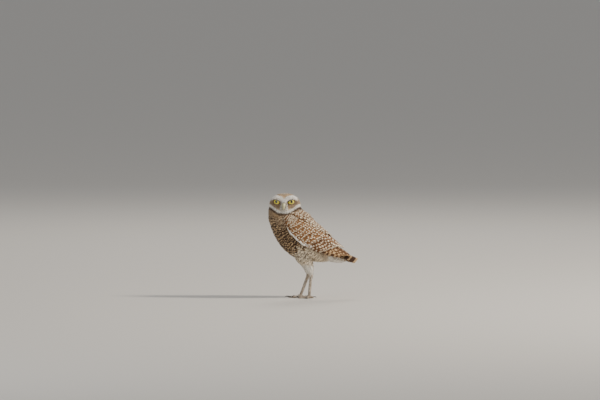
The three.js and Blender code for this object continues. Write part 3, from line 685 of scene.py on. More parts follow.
ground, mark, pattern = plumage(skin_points)
give(skin_mesh, {"ground": ground * [0.75, 0.72, 0.7, 1], "mark": mark, "pattern": pattern})
paint = Paint("skin_under_down", 0.9)
cell = paint.node("TexVoronoi", "Distance", {"Vector": paint.place, "Scale": 170.0, "Randomness": 0.8})
spotted, barred, _ = paint.split(paint.attribute("pattern", "Vector"))
marks = cell.ramp(0.34, 0.22) * spotted.math("MAXIMUM", barred)
colours = paint.attribute("ground", "Color"), paint.attribute("mark", "Color")
paint.put("Base Color", paint.mix(marks, *colours))
paint.bump(paint.noise(600, 3.0), 0.6, 0.0006)
flesh_nodes = ("head", "neck", "torso", "thigh_left", "thigh_right")
piece_from("skin", skin_mesh, paint.material, "breast_feather", *flesh_nodes)

# Body feathers. Thin vanes of keratin, each rooted in the skin and lying over the roots of the next ones.
# They are sown evenly at a spacing that suits each part of the bird, and each follows the skin all along.
random = np.random.default_rng(11)
PATCH = 0.003  # a small feather's width on the bake's map
ROOT_SINK, VANE_THICK = 0.3, 0.12
EYE_SPLAY = math.radians(17)
VANE_ALONG = np.array([0.0, 0.2, 0.42, 0.64, 0.82, 0.93, 1.0])
ROUND_TIP = np.array([0.3, 0.72, 0.98, 1.0, 0.84, 0.55, 0.14])
SOFT_TIP = np.array([0.35, 0.8, 1.0, 0.86, 0.58, 0.32, 0.06])
# The folded wing: stations of its form as in TORSO, and its lower and upper edge in degrees from the back.
WING_FORM = [
    (25, 3, 31, 31), (55, 0.5, 40.5, 38), (80, -1, 40, 39.5), (105, 0.5, 37, 37.5),
    (127, 5, 31.5, 32), (150, 13, 22.5, 24.5), (172, 20, 15.5, 17), (195, 26, 9, 10),
]
WING_EDGES = [
    (26, 92, 56), (42, 110, 46), (68, 112, 34), (92, 103, 24), (115, 94, 12), (135, 92, 5), (150, 88, 4),
]


def wanted_spacing(p):
    """Millimetres between feathers: least on the face, most on the back and breast."""
    head = head_share(p)
    front = smooth_step(2, 14, head_places(p)[2])
    spacing = 2.75 * (1 - head) + head * (1.4 - 0.5 * front)
    neck = gauss(p[:, 2] - 166, 8) * (1 - head)
    soft = np.maximum(thigh_share(p), vent_share(p))
    return spacing * (1 - 0.22 * neck) * (1 - 0.34 * soft)


def under_wing(p, margin):
    """True under the folded wings, away from their edges."""
    along, lift = body_places(p)
    around = np.degrees(np.arctan2(np.abs(p[:, 1]), lift - reading(WING_FORM, 1, along)))
    low, high = reading(WING_EDGES, 1, along), reading(WING_EDGES, 2, along)
    return (along > 34 + margin) & (along < 150) & (around < low - margin) & (around > high + margin)


def eye_frame(side):
    """An eye's centre, the way it looks, and across and over that way."""
    way = FACE_WAY * math.cos(EYE_SPLAY) + CHEEK_WAY * side * math.sin(EYE_SPLAY)
    across = unit(np.cross(UP, way))
    return head_point(side * EYE[0], EYE[1], EYE[2]), way, across, np.cross(way, across)


def in_eye(p, wide, high):
    """True in front of either eye, within an oval."""
    inside = np.zeros(len(p), bool)
    for side in (-1, 1):
        centre, way, across, over = eye_frame(side)
        rel = p - centre
        inside |= (np.hypot(rel @ across / wide, (rel @ over + 0.3) / high) < 1) & (rel @ way > 0)
    return inside


def sown(surplus=7):
    """Root places all over the skin, at the wanted spacing, clear of eyes, bill and wings."""
    a, b, c = (skin_points[skin_triangles[:, k]] for k in range(3))
    area = np.linalg.norm(np.cross(b - a, c - a), axis=1) / 2
    middle = (a + b + c) / 3
    want = area / wanted_spacing(middle) ** 2
    number = int(want.sum() * surplus)
    chosen = random.choice(len(want), number, p=want / want.sum())
    u, v = random.random((2, number))
    fold = u + v > 1
    u, v = np.where(fold, 1 - u, u), np.where(fold, 1 - v, v)
    places = a[chosen] + u[:, None] * (b - a)[chosen] + v[:, None] * (c - a)[chosen]
    tree = KDTree(number)
    for k, place in enumerate(places):
        tree.insert(place, k)
    tree.balance()
    spacing = wanted_spacing(places)
    free = np.ones(number, bool)
    kept = []
    for k in range(number):
        if free[k]:
            kept.append(k)
            for _, other, _ in tree.find_range(places[k], spacing[k] * 0.86):
                free[other] = False
    places = places[kept]
    cheek, up, face = head_places(places)
    at_bill = (np.abs(cheek) < 2.4) & (up < 5.8) & (up > -5.5) & (face > 12)
    ankle = places[:, 2] < ANKLE_HEIGHT + 1
    return places[~(in_eye(places, 6.3, 4.5) | at_bill | ankle | under_wing(places, 7))]


def spines(roots, lengths):
    """Each feather's middle line, laid along the skin step by step, with the skin's normals."""
    place, normal = on_skin(roots)
    way = lie_of(place, normal)
    sway = random.normal(0, 0.13, len(roots))[:, None]
    way = unit(way + np.cross(normal, way) * sway)
    places, normals = [place], [normal]
    for step in np.diff(VANE_ALONG):
        ahead = places[-1] + way * (step * lengths)[:, None]
        place, found = on_skin(ahead)
        # a feather is stiff: it only half follows the skin's turn
        normal = unit(normals[-1] * 0.45 + found * 0.55)
        places.append(ahead * 0.25 + place * 0.75)
        normals.append(normal)
        way = laid(way, normal)
    return np.stack(places, 1), np.stack(normals, 1)


def vane_faces(rows, columns):
    """Faces of one closed vane: an upper and a lower sheet that share their edge."""
    upper = np.arange(rows * columns).reshape(rows, columns)
    lower = upper.copy()
    inner = (rows - 2) * (columns - 2)
    lower[1:-1, 1:-1] = rows * columns + np.arange(inner).reshape(rows - 2, columns - 2)

    def sheet(grid):
        """Four-sided faces over a grid of points."""
        return np.stack([grid[:-1, :-1], grid[1:, :-1], grid[1:, 1:], grid[:-1, 1:]], -1).reshape(-1, 4)

    return np.concatenate([sheet(upper), sheet(lower)[:, ::-1]])


def vanes_mesh(name, upper, lower, across, along, corner, room, looks):
    """A mesh of closed vanes, from their upper and lower sheets, each with its own corner and room on the
    bake's map, and its own looks."""
    n, rows, columns = upper.shape[:3]
    points = np.concatenate([upper.reshape(n, -1, 3), lower.reshape(n, -1, 3)], 1)
    each = points.shape[1]
    faces = (vane_faces(rows, columns)[None] + (np.arange(n) * each)[:, None, None]).reshape(-1, 4)
    uv = np.stack(np.broadcast_arrays((across + 1) / 2, along[:, None]), -1)
    uv = np.concatenate([uv.reshape(-1, 2), uv[1:-1, 1:-1].reshape(-1, 2)])
    values = {label: np.repeat(np.array(value), each, axis=0) for label, value in looks.items()}
    values["chance"] = np.repeat(random.random(n), each)
    uvs = {"OFBake": (corner[:, None] + uv * room).reshape(-1, 2), "vane": np.tile(uv, (n, 1))}
    return mesh_from(name, points.reshape(-1, 3), [faces], uvs, values)


def coat_mesh(name, roots, lengths, widths, lift, columns, outline, unwrap, looks):
    """Small vanes: each half width follows the outline, the root is sunk and the tip raised by lift."""
    middle, normal = spines(roots, lengths)
    n = len(roots)
    across = np.linspace(-1, 1, columns)
    way = np.gradient(middle, axis=1)
    side = unit(np.cross(normal, way), 1e-9)
    height = (lift[:, None] + ROOT_SINK) * VANE_ALONG**0.8 - ROOT_SINK
    height[:, -1] -= 0.25 * lift
    # each edge is a little ragged, where the barbs part
    ragged = 1 + random.normal(0, 0.1, (n, len(VANE_ALONG), 2))
    ragged = np.where(across < 0, ragged[..., :1], ragged[..., 1:])
    half = (widths[:, None] / 2 * outline)[:, :, None] * ragged
    roll = random.normal(0, 0.1, n)[:, None, None]
    rise = height[..., None] + half * (roll * across - 0.16 * across**2)
    # the tip is a shallow arc, so barbs beside the shaft end short of it
    short = across**2 * (lengths[:, None, None] * 0.05) * (VANE_ALONG > 0.6)[:, None]
    ways = (way[:, :, None] for way in (side, normal, unit(way, 1e-9)))
    upper = steps_from(middle[:, :, None], *zip((half * across, rise, -short), ways))
    lower = upper[:, 1:-1, 1:-1] - normal[:, 1:-1, None] * VANE_THICK
    return vanes_mesh(name, upper, lower, across, VANE_ALONG, unwrap(roots) - PATCH / 2, PATCH, looks)


def body_unwrap(p):
    """The body's skin laid flat: the angle round its long axis, and the distance along it."""
    along, lift = body_places(p)
    around = np.arctan2(-p[:, 1], lift + 1e-6) / math.pi
    return np.stack([0.5 + 0.49 * around, 0.03 + 0.94 * np.clip((along + 30) / 205, 0, 1)], -1)


def head_unwrap(p):
    """The head's skin laid flat as a disc round the way the face looks."""
    cheek, up, face = head_places(p)
    polar = np.arctan2(np.hypot(cheek, up), face)
    turn = np.arctan2(cheek, up)
    reach = 0.48 * polar / math.pi
    return np.stack([0.5 + reach * np.sin(turn), 0.5 + reach * np.cos(turn)], -1)


roots = sown()
spacing = wanted_spacing(roots)
wander = random.normal(1, 0.13, len(roots))
head = head_share(roots)
soft = np.maximum(thigh_share(roots), vent_share(roots))
vane_lengths = spacing * (4.3 + 0.3 * head + 1.2 * soft) * wander
vane_widths = spacing * (2.3 - 0.8 * head - 0.95 * soft) * random.normal(1, 0.1, len(roots))
vane_lift = spacing * (0.5 - 0.05 * head + 0.3 * soft) * random.normal(1, 0.25, len(roots))
grounds, marks, patterns = plumage(roots)
grounds = np.clip(grounds * random.normal(1, 0.09, (len(roots), 1)), 0, 1)
grounds[:, 3] = 1
dot = 1.05 - 0.55 * head
sizes = np.stack([vane_widths / 2, vane_lengths, dot, np.full(len(roots), 5.0)], -1)
looks = {"ground": grounds, "mark": marks, "pattern": patterns, "size": sizes}
body_material = feather_material("body_feathers", barbs=5, lengthwise=6)
head_material = feather_material("head_feathers", barbs=2, lengthwise=4)
on_head, on_back, on_face = head > 0.5, body_places(roots)[1] > 0, head_places(roots)[2] > 6
below = ~on_head & ~on_back
on_the_head = (head_material, head_unwrap, 3, SOFT_TIP)
on_the_body = (body_material, body_unwrap, 5)
for name, chosen, (material, unwrap, columns, outline), slot in (
    ("face_feathers", on_head & on_face, on_the_head, "pale_feather"),
    ("crown_feathers", on_head & ~on_face, on_the_head, "brown_feather"),
    ("back_feathers", ~on_head & on_back, (*on_the_body, ROUND_TIP), "brown_feather"),
    ("breast_feathers", below & (soft <= 0.5), (*on_the_body, ROUND_TIP), "breast_feather"),
    ("soft_feathers", below & (soft > 0.5), (*on_the_body, SOFT_TIP), "pale_feather"),
):
    shape = (roots[chosen], vane_lengths[chosen], vane_widths[chosen], vane_lift[chosen])
    chosen_looks = {label: value[chosen] for label, value in looks.items()}
    piece_from(name, coat_mesh(name, *shape, columns, outline, unwrap, chosen_looks), material, slot)

# Long feathers of wings and tail. Stiff vanes of keratin on a strong shaft, with a rounded tip, each laid on
# the curved bed of its wing or tail; rows of them overlap like slates.
LONG_ALONG = np.concatenate([np.linspace(0, 0.8, 9), [0.88, 0.94, 0.98, 1.0]])
LONG_ACROSS = np.linspace(-1, 1, 7)
ARCH, THICK = 0.35, 0.28


def long_outline(v, blunt):
    """Share of full half width along a vane: a narrow root, an even middle and a rounded tip."""
    root = 0.42 + 0.58 * np.sin(np.clip(v / 0.45, 0, 1) * math.pi / 2)
    tip = np.sqrt(np.maximum(1 - np.clip((v - blunt) / (1.0005 - blunt), 0, 1) ** 2.4, 0.0))
    return root * np.maximum(tip, 0.05)


def long_vane(bed, root, tip, half, rise, roll=0.3, blunt=0.72):
    """One vane on a bed, from root to tip (along, across) with the height over the bed at both: its upper and
    lower points, its half width and its length."""
    v, c = LONG_ALONG[:, None], LONG_ACROSS[None, :]
    way = np.array(tip, float) - np.array(root, float)
    along, across = root[0] + way[0] * v, root[1] + way[1] * v
    here = bed(along, across, 0)
    per_along = np.linalg.norm(bed(along + 0.5, across, 0) - here, axis=-1) * 2
    per_across = np.linalg.norm(bed(along, across + 0.5, 0) - here, axis=-1) * 2
    x, y = way[0] * per_along, way[1] * per_across
    length = np.hypot(x, y)
    aside = c * half * long_outline(v, blunt)
    a = along - y / length * aside / per_along
    b = across + x / length * aside / per_across
    h = rise[0] + (rise[1] - rise[0]) * v + roll * c + ARCH * (1 - c**2)
    lower = bed(a[1:-1, 1:-1], b[1:-1, 1:-1], h[1:-1, 1:-1] - THICK * (1 - 0.4 * v[1:-1]))
    return bed(a, b, h), lower, half, length.mean()


class Plumes:
    """Long vanes on one bed with their looks, gathered row by row."""

    def __init__(self, bed):
        self.bed, self.upper, self.lower = bed, [], []
        self.looks = {"ground": [], "mark": [], "pattern": [], "size": []}

    def add(self, vanes, ground, mark, pattern, dot=1.6, spacing=6.5):
        """Vanes with their colours, the strength of spots, bars and tips, and the marks' sizes in mm."""
        shades = random.normal(1, 0.06, len(vanes))
        for (upper, lower, half, length), shade in zip(vanes, shades):
            self.upper.append(upper)
            self.lower.append(lower)
            vane_looks = (np.clip(ground * shade, 0, 1), mark, (*pattern, 1.0), (half, length, dot, spacing))
            for values, value in zip(self.looks.values(), vane_looks):
                values.append(value)

    def add_row(self, count, first, last, form, *looks, **sizes):
        """A row of vanes between a first and a last (root, tip, half width), each varied a little."""
        row = []
        for t in np.arange(count) / (count - 1):
            root, tip = (np.array(a) + (np.array(b) - np.array(a)) * t for a, b in zip(first[:2], last[:2]))
            tip = tip + random.normal(0, [1.0, 0.5])
            half = (first[2] + (last[2] - first[2]) * t) * random.normal(1, 0.03)
            row.append(long_vane(self.bed, root, tip, half, **form))
        self.add(row, *looks, **sizes)

    def piece(self, name, material, slot, *nodes):
        """One piece of all the vanes, each with its own rectangle on the bake's map."""
        n = len(self.upper)
        wide = math.ceil(math.sqrt(n * 3))
        grid = np.array([wide, math.ceil(n / wide)])
        corner = (np.stack([np.arange(n) % wide, np.arange(n) // wide], -1) + 0.06) / grid
        sheets = np.stack(self.upper), np.stack(self.lower)
        mesh = vanes_mesh(name, *sheets, LONG_ACROSS, LONG_ALONG, corner, 0.88 / grid, self.looks)
        piece_from(name, mesh, material, slot, *nodes)


# Tail. Twelve barred quills of keratin, rooted in the rump in a narrow arched fan, with short coverts over
# their roots.
TAIL_START = np.array([44.0, 0.0, 104.0])
TAIL_SLOPE = math.radians(-23.3)
TAIL_WAY = np.array([math.cos(TAIL_SLOPE), 0.0, math.sin(TAIL_SLOPE)])
TAIL_UP = np.array([-TAIL_WAY[2], 0.0, TAIL_WAY[0]])
TAIL_LENGTH = 71


def tail_bed(along, across, out):
    """The tail's arched top: along it, across it, and above it."""
    lift = out - 11 * np.abs(across / 18) ** 1.7
    return steps_from(TAIL_START, (along, TAIL_WAY), (across, -LEFT_WAY), (lift, TAIL_UP))


quill_material = feather_material("long_feathers", barbs=60, lengthwise=14, notched=0.25, bar_edge=0.25)
tail_material = feather_material("tail_feathers", barbs=60, lengthwise=14, bar_edge=0.55, stray=0.3)
covert_material = feather_material("covert_feathers", barbs=24, lengthwise=10)
tail = Plumes(tail_bed)
for side in (-1, 1):
    for pair in range(6):
        apart = (pair + 0.5) / 6
        level = -pair * 0.42 - (0.45 if side > 0 else 0)
        root = (2, side * (1 + apart * 6))
        tip = (TAIL_LENGTH - apart * apart * 5, side * apart * 14.5)
        vane = long_vane(tail_bed, root, tip, 6.2, (level, level), roll=-0.35 * side, blunt=0.86)
        tail.add([vane], DARK_BROWN * [1.25, 1.2, 1.15, 1], BUFF, (0.0, 0.95, 0.9), spacing=11.5)
tail.piece("tail_quills", tail_material, "brown_feather", "tail")
tail_coverts = Plumes(tail_bed)
for start, reach, count, wide, rise in ((0, 26, 5, 9, 1.6), (-6, 16, 6, 10, 2.2), (-14, 6, 6, 11, 2.8)):
    first = ((start, -wide * 0.7), (reach, -wide), 5.2)
    last = ((start, wide * 0.7), (reach, wide), 5.2)
    form = {"rise": (0.2, rise), "roll": 0.0}
    tail_coverts.add_row(count, first, last, form, BROWN, CREAM, (0.8, 0.3, 0.4))
tail_coverts.piece("tail_coverts", covert_material, "brown_feather")

# Wings. Folded against the body and held at the shoulder: quills of keratin with their coverts in rows above
# them, and the shoulder's feathers over their upper edge. The right wing mirrors the left, with its own
# chances.
QUILL_ROWS = [
    # number, first and last (root, tip, half width), heights, roll, colours, strengths, dot, bars' spacing
    (8, ((90, 97), (156, 88), 4.8), ((101, 66), (175, 42), 6.6), (-0.8, 0.9), 0.5,
     BROWN * [0.75, 0.7, 0.65, 1], BUFF * [1.15, 1.15, 1.15, 1], (0.2, 0.9, 0.5), 1.6, 9.5),
    (7, ((86, 98), (122, 93), 6.6), ((94, 55), (141, 49), 7.2), (-0.3, 1.6), 0.5,
     BROWN * [0.9, 0.86, 0.82, 1], CREAM, (0.5, 0.8, 0.6), 1.6, 8.5),
    (5, ((92, 48), (142, 42), 7.4), ((98, 18), (157, 11), 8.6), (-0.2, 2.2), 0.45,
     BROWN * [1.1, 1.08, 1.05, 1], CREAM, (1.0, 0.9, 0.4), 2.0, 8.0),
]
COVERT_ROWS = [
    # along of first root and tip, angles of first and last root, number, half width, heights
    (66, 94, 106, 40, 9, 5.4, (-0.2, 2.3)), (58, 83, 107, 42, 9, 5.0, (-0.1, 2.6)),
    (50, 73, 107, 46, 9, 4.7, (0.0, 2.8)), (42, 64, 106, 50, 9, 4.4, (0.0, 2.8)),
    (34, 55, 103, 54, 8, 4.3, (0.0, 2.7)), (28, 46, 98, 58, 7, 4.1, (0.0, 2.4)),
]
SHOULDER_ROWS = [
    (21, 32, 92, 42, 15, 2.5, (-3.0, 0.7)), (25, 36, 101, 40, 17, 2.6, (-1.6, 1.3)),
    (29, 41, 105, 40, 17, 2.7, (-0.8, 1.9)), (62, 92, 44, 18, 6, 6.2, (0.2, 3.4)),
    (50, 80, 47, 20, 6, 6.0, (0.3, 3.6)), (38, 66, 52, 24, 6, 5.6, (0.3, 3.6)),
    (28, 52, 56, 30, 5, 5.2, (0.2, 3.2)), (46, 60, 40, 20, 7, 3.4, (1.0, 3.3)),
    (39, 53, 46, 23, 8, 3.3, (0.8, 3.2)), (32, 46, 52, 26, 9, 3.2, (0.5, 3.0)),
    (25, 38, 58, 30, 10, 3.0, (-0.4, 2.4)), (20, 31, 60, 34, 10, 2.7, (-2.0, 1.5)),
]


def wing_bed(mirror):
    """The folded wing's outer face: along the body, degrees round it from the back, and out from it."""
    return lambda along, around, out: body_point(WING_FORM, along, np.radians(around), out) * [1, -mirror, 1]


for name, mirror in (("left", -1), ("right", 1)):
    quills, coverts = Plumes(wing_bed(mirror)), Plumes(wing_bed(mirror))
    for number, first, last, rise, roll, ground, mark, strengths, dot, spacing in QUILL_ROWS:
        form = {"rise": rise, "roll": roll}
        quills.add_row(number, first, last, form, ground, mark, strengths, dot=dot, spacing=spacing)
    for root, tip, low, high, number, half, rise in COVERT_ROWS:
        first = ((root, low), (tip, low - 4), half)
        last = ((root + 9, high), (tip + 13, high - 6), half * 1.1)
        form = {"rise": rise, "roll": 0.35, "blunt": 0.6}
        looks = (mixed(BROWN, TAN, 0.45), CREAM, (1.0, 0.0, 0.12))
        coverts.add_row(number, first, last, form, *looks, dot=half * 0.3)
    for root, tip, low, high, number, half, rise in SHOULDER_ROWS:
        push = 24 if half > 4 else 3
        first = ((root, low), (tip, low - 3), half)
        last = ((root + push, high), (tip + push * 1.3, high - 4), half * 1.1)
        form = {"rise": rise, "roll": 0.3, "blunt": 0.6}
        barred, spacing = (0.5, 4.6) if half < 3 else (0.22, 7.0)
        looks = (mixed(BROWN, TAN, 0.15), CREAM, (1.0, barred, 0.1))
        coverts.add_row(number, first, last, form, *looks, dot=half * 0.32, spacing=spacing)
    # the wing's pale front edge, and the thumb's feathers under it
    first, last = ((36, 105), (52, 110), 1.7), ((64, 111), (88, 106), 2.0)
    coverts.add_row(9, first, last, {"rise": (0.3, 2.7), "roll": 0.2}, WHITE, WHITE, (0, 0, 0))
    first, last = ((64, 110), (90, 103), 3.6), ((68, 107), (98, 100), 4.0)
    thumb_colour = BROWN * [0.85, 0.8, 0.75, 1]
    coverts.add_row(3, first, last, {"rise": (0.2, 2.2)}, thumb_colour, WHITE, (0.8, 0.0, 0.5))
    quills.piece(f"wing_quills_{name}", quill_material, "brown_feather", f"wing_{name}")
    coverts.piece(f"wing_coverts_{name}", covert_material, "brown_feather")

# Eyes. Firm round balls that fill the head's sockets and are held there by its skin, with a yellow iris round
# a black pupil, under a clear wet front.
EYE_RADIUS = 9.0
paint = Paint("eye", 0.22)
paint.put("Coat Weight", 1.0)
paint.put("Coat Roughness", 0.02)
off_axis, round_axis, _ = paint.split(paint.node("UVMap", "UV", uv_map="ring"))
shown = paint.mix(paint.noise(1500), colour("e8cf12"), colour("c99a0c"))
for start, end, code in (
    (0.22, 0.13, "f4e443"),  # a brighter ring round the pupil
    (0.215, 0.245, "5a4306"),  # the iris's dark rim
    (0.094, 0.084, "050403"),  # the pupil
    (0.245, 0.255, "1a120b"),  # the ball beside the iris
):
    shown = paint.mix(off_axis.ramp(start, end), shown, colour(code))
# above and below the lids' opening the ball is as pale as the feathers in front of it
height = (round_axis * 7.0).math("SINE") * (off_axis * math.pi).math("SINE")
shown = paint.mix(height.math("ABSOLUTE").ramp(0.52, 0.56), shown, colour("a8977f"))
paint.put("Base Color", shown)
for name, side in (("left", 1), ("right", -1)):
    centre, way, across, over = eye_frame(side)
    polar = np.linspace(0, math.pi, 42)[:, None]
    turn = turns(56)
    reach = EYE_RADIUS + 0.35 * smooth_step(0.75, 0.4, polar)
    sizes = (np.cos(polar), np.sin(polar) * np.cos(turn), np.sin(polar) * np.sin(turn))
    globe = steps_from(centre, *((size * reach, way) for size, way in zip(sizes, (way, across, over))))
    off = np.concatenate([[0], np.repeat(polar[1:-1, 0] / math.pi, 56), [1]])
    angle = np.concatenate([[0], np.tile(turn, 40), [0]])
    disc = np.stack([0.5 + 0.49 * off * np.cos(angle), 0.5 + 0.49 * off * np.sin(angle)], -1)
    uvs = {"OFBake": disc, "ring": np.stack([off, angle / 7], -1)}
    form = closed(globe[1:-1], globe[0, 0], globe[-1, 0])
    form_piece(f"eyeball_{name}", form, paint.material, "eye", f"eye_{name}", uvs=uvs)

# Eyelids. A dark soft rim of bare skin round each eye, part of the head's skin, and fuller above, where it
# shades the iris.
LID_SECTION = 14
paint = Paint("eyelid", 0.55)
fine = paint.noise(1400, 3.0)
clothed = (paint.attribute("rim") + fine * 0.3).ramp(0.5, 0.8)
bare = paint.mix(fine, colour("231a15"), colour("46392f"))
paint.put("Base Color", paint.mix(clothed, bare, paint.mix(fine, colour("8b7660"), colour("d9cdb8"))))
paint.bump(fine, 0.6, 0.0003)


def lid_points(side, steps=72):
    """A loop round the eye's opening, an oval with drawn-out corners, whose section is a flat drop."""
    centre, way, across, over = eye_frame(side)
    round_eye, section = turns(steps), turns(LID_SECTION)[:, None]
    x = 6.5 * np.sign(np.cos(round_eye)) * np.abs(np.cos(round_eye)) ** 0.94
    y = np.where(np.sin(round_eye) > 0, 3.3, 4.1) * np.sin(round_eye) - 0.35
    y = y + 1.25 * np.cos(round_eye) * side  # the outer corner is higher
    upper = smooth_step(-0.3, 0.6, np.sin(round_eye))
    out = 0.5 * (1 - np.cos(section))  # 0 at the opening's edge, 1 where the lid meets the skin
    radial = np.hypot(x, y)
    grow = (radial + out * (1.4 + 1.8 * upper)) / radial
    x, y = x * grow, y * grow
    lift = np.sin(section) * (0.42 + 0.25 * upper) * (1 - 0.4 * out)
    fold = 0.22 * upper * gauss(out - 0.55, 0.16) * ((section > 0) & (section < math.pi))
    reach = EYE_RADIUS + 0.5 + 0.25 * upper + lift - fold - (0.4 + 0.7 * upper) * out**3
    depth = np.sqrt(np.maximum(reach**2 - x**2 - y**2, 1))
    return steps_from(centre, (x, across), (y, over), (depth, way))


def loop_faces(rings, around):
    """Faces of a closed ring of closed sections."""
    spot = np.arange(rings * around).reshape(rings, around)
    after = np.roll(spot, -1, axis=1)
    return np.stack([spot, np.roll(spot, -1, 0), np.roll(after, -1, 0), after], -1).reshape(-1, 4)


for name, side in (("left", 1), ("right", -1)):
    rings = lid_points(side)
    rim = 0.5 - 0.5 * np.cos(turns(LID_SECTION))
    values = {"rim": np.repeat(rim, rings.shape[1])}
    form = rings.reshape(-1, 3), [loop_faces(*rings.shape[:2])]
    form_piece(f"eyelid_{name}", form, paint.material, "leg", values=values)

# Feathers of the lids and of the bill's root, rooted in their skin. Tiny ones clothe the outer half of each
# upper lid, and stiff white ones grow forward and down beside the bill.


def small_vanes(name, tufts, slot):
    """A piece of short pointed feathers, each from (place, way, out, length, half width, lift, colour)."""
    place, way, out, length, half, lift, ground = (np.array(part, float) for part in zip(*tufts))
    way = laid(way, out)
    n = len(place)
    at, c = VANE_ALONG[None, :, None], np.array([-1.0, 0.0, 1.0])
    width = half[:, None, None] * SOFT_TIP[None, :, None]
    rise = (lift[:, None, None] + 0.15) * at**0.9 - 0.15 - 0.15 * c**2 * width
    parts = ((at * length[:, None, None] + 0 * c, way), (rise, out), (c * width, np.cross(out, way)))
    upper = steps_from(place[:, None, None], *((size, along[:, None, None]) for size, along in parts))
    lower = upper[:, 1:-1, 1:-1] - out[:, None, None] * 0.1
    row = math.ceil(math.sqrt(n))
    corner = np.stack([np.arange(n) % row + 0.5, np.arange(n) // row + 0.5], -1) / row - PATCH / 2
    sizes = np.stack([half, length, np.full(n, 1.0), np.full(n, 5.0)], -1)
    pattern = np.tile([0.0, 0.0, 0.0, 1.0], (n, 1))
    looks = {"ground": ground, "mark": ground, "pattern": pattern, "size": sizes}
    piece_from(name, vanes_mesh(name, upper, lower, c, VANE_ALONG, corner, PATCH, looks), head_material, slot)


tufts = []
for side in (-1, 1):
    centre, _, across, _ = eye_frame(side)
    rings = lid_points(side, 180)
    for k in range(440):
        theta = random.integers(180)
        if math.sin(theta * math.pi / 90) < -0.35:
            continue
        row = random.integers(2, 7)
        place, next_place = rings[row, theta], rings[row + 1, theta]
        out = unit(place - centre)
        outward = across * side * 0.25 + next_place - place
        clothed = smooth_step(2.2, 4.5, row + random.uniform(0, 1))
        shade = mixed(GREY_BROWN * [0.5, 0.5, 0.5, 1], WHITE, clothed)
        tufts.append((place, outward, out, random.uniform(1.6, 2.6), 0.3, 0.25, shade))
    for k in range(120):
        height = random.uniform(-4, 7)
        place = head_point(side * random.uniform(2.8, 6.5), height, 22.2 + 0.2 * min(height, 4))
        on, normal = on_skin([place])
        forward = FACE_WAY * 0.5 - UP * random.uniform(0.6, 1.2)
        forward = forward - CHEEK_WAY * side * random.uniform(-0.3, 0.5)
        shade = mixed(WHITE, GREY_BROWN, random.uniform(0, 0.35))
        length, half = random.uniform(4.5, 7.0), random.uniform(0.3, 0.5)
        tufts.append((on[0], forward, normal[0], length, half, 2.6, shade))
for k in range(70):
    place, normal = on_skin([head_point(random.uniform(-2.6, 2.6), random.uniform(6, 10), 23)])
    shade = mixed(WHITE, GREY_BROWN, random.uniform(0.1, 0.5))
    forward = FACE_WAY * 0.3 - UP + CHEEK_WAY * random.normal(0, 0.15)
    length, half = random.uniform(3.4, 5.2), random.uniform(0.3, 0.45)
    tufts.append((place[0], forward, normal[0], length, half, 2.4, shade))
small_vanes("lid_and_lore_feathers", tufts, "pale_feather")

# Bill. Pale horn over the jaws, hooked, the lower half shut under the upper, with a nostril on each side.
# Stations: share of length, up, face, and half sizes high and wide.
UPPER_BILL = [
    (0, 6, 21.5, 3, 2.9), (0.25, 4.4, 25.4, 3.9, 3.3), (0.5, 1.1, 27.9, 3.8, 2.9),
    (0.75, -2.6, 28.8, 2.7, 2), (0.92, -5.4, 28.2, 1.4, 1), (1, -6.8, 27.6, 0.5, 0.4),
]
LOWER_BILL = [
    (0, -2.8, 19.5, 1.9, 2.7), (0.5, -3.4, 23.4, 1.6, 2.2),
    (0.85, -4.1, 25.2, 1, 1.5), (1, -4.4, 26, 0.5, 0.8),
]
NOSTRIL = (2.4, 4.6, 27.2)
paint = Paint("horn_of_bill", 0.32)
horn = paint.mix(paint.noise(320, 4.0), colour("aaa278"), colour("d8d2a8"))
# painted shade: the nostrils' shallow pits are near-black, standing in for the depth of the holes
paint.put("Base Color", paint.mix(paint.attribute("pit").ramp(0.35, 0.75), horn, colour("2a241b")))
paint.put("Coat Weight", 0.25)


def bill_form(table, rings, around, nostrils):
    """A bent horn of oval rings with a ridge along its top, and where its nostrils' pits are."""
    share = np.linspace(0, 1, rings + 2)
    up, face = reading(table, 1, share), reading(table, 2, share)
    way = unit(np.stack([np.gradient(up), np.gradient(face)], -1))
    turn = turns(around)
    cap = np.sqrt(np.maximum(1 - np.abs(2 * share - 1) ** 16, 0))
    high, wide = reading(table, 3, share) * cap, reading(table, 4, share) * cap
    ridge = 1 + 0.05 * np.exp(-((np.minimum(turn, 2 * math.pi - turn) / 0.3) ** 2))
    over = high[:, None] * np.cos(turn) * ridge
    cheek = wide[:, None] * np.sign(np.sin(turn)) * np.abs(np.sin(turn)) ** 0.9
    places = head_point(cheek, up[:, None] + way[:, 1, None] * over, face[:, None] - way[:, 0, None] * over)
    pit = np.zeros(places.shape[:2])
    if nostrils:
        for side in (-1, 1):
            at = head_point(side * NOSTRIL[0], NOSTRIL[1], NOSTRIL[2])
            far = np.linalg.norm(places - at, axis=-1)
            out = side * CHEEK_WAY * 0.7 + FACE_WAY * 0.7
            places = places + (0.75 * gauss(far, 1.3) - 1.5 * gauss(far, 0.5))[..., None] * out
            pit = np.maximum(pit, gauss(far, 0.75))
    values = {"pit": np.concatenate([[0], pit[1:-1].ravel(), [0]])}
    return closed(places[1:-1], places[0, 0], places[-1, 0]), values


for half, table, rings, around in (("upper", UPPER_BILL, 72, 64), ("lower", LOWER_BILL, 24, 32)):
    form, values = bill_form(table, rings, around, half == "upper")
    form_piece(f"bill_{half}_half", form, paint.material, "bill", f"bill_{half}", values=values)

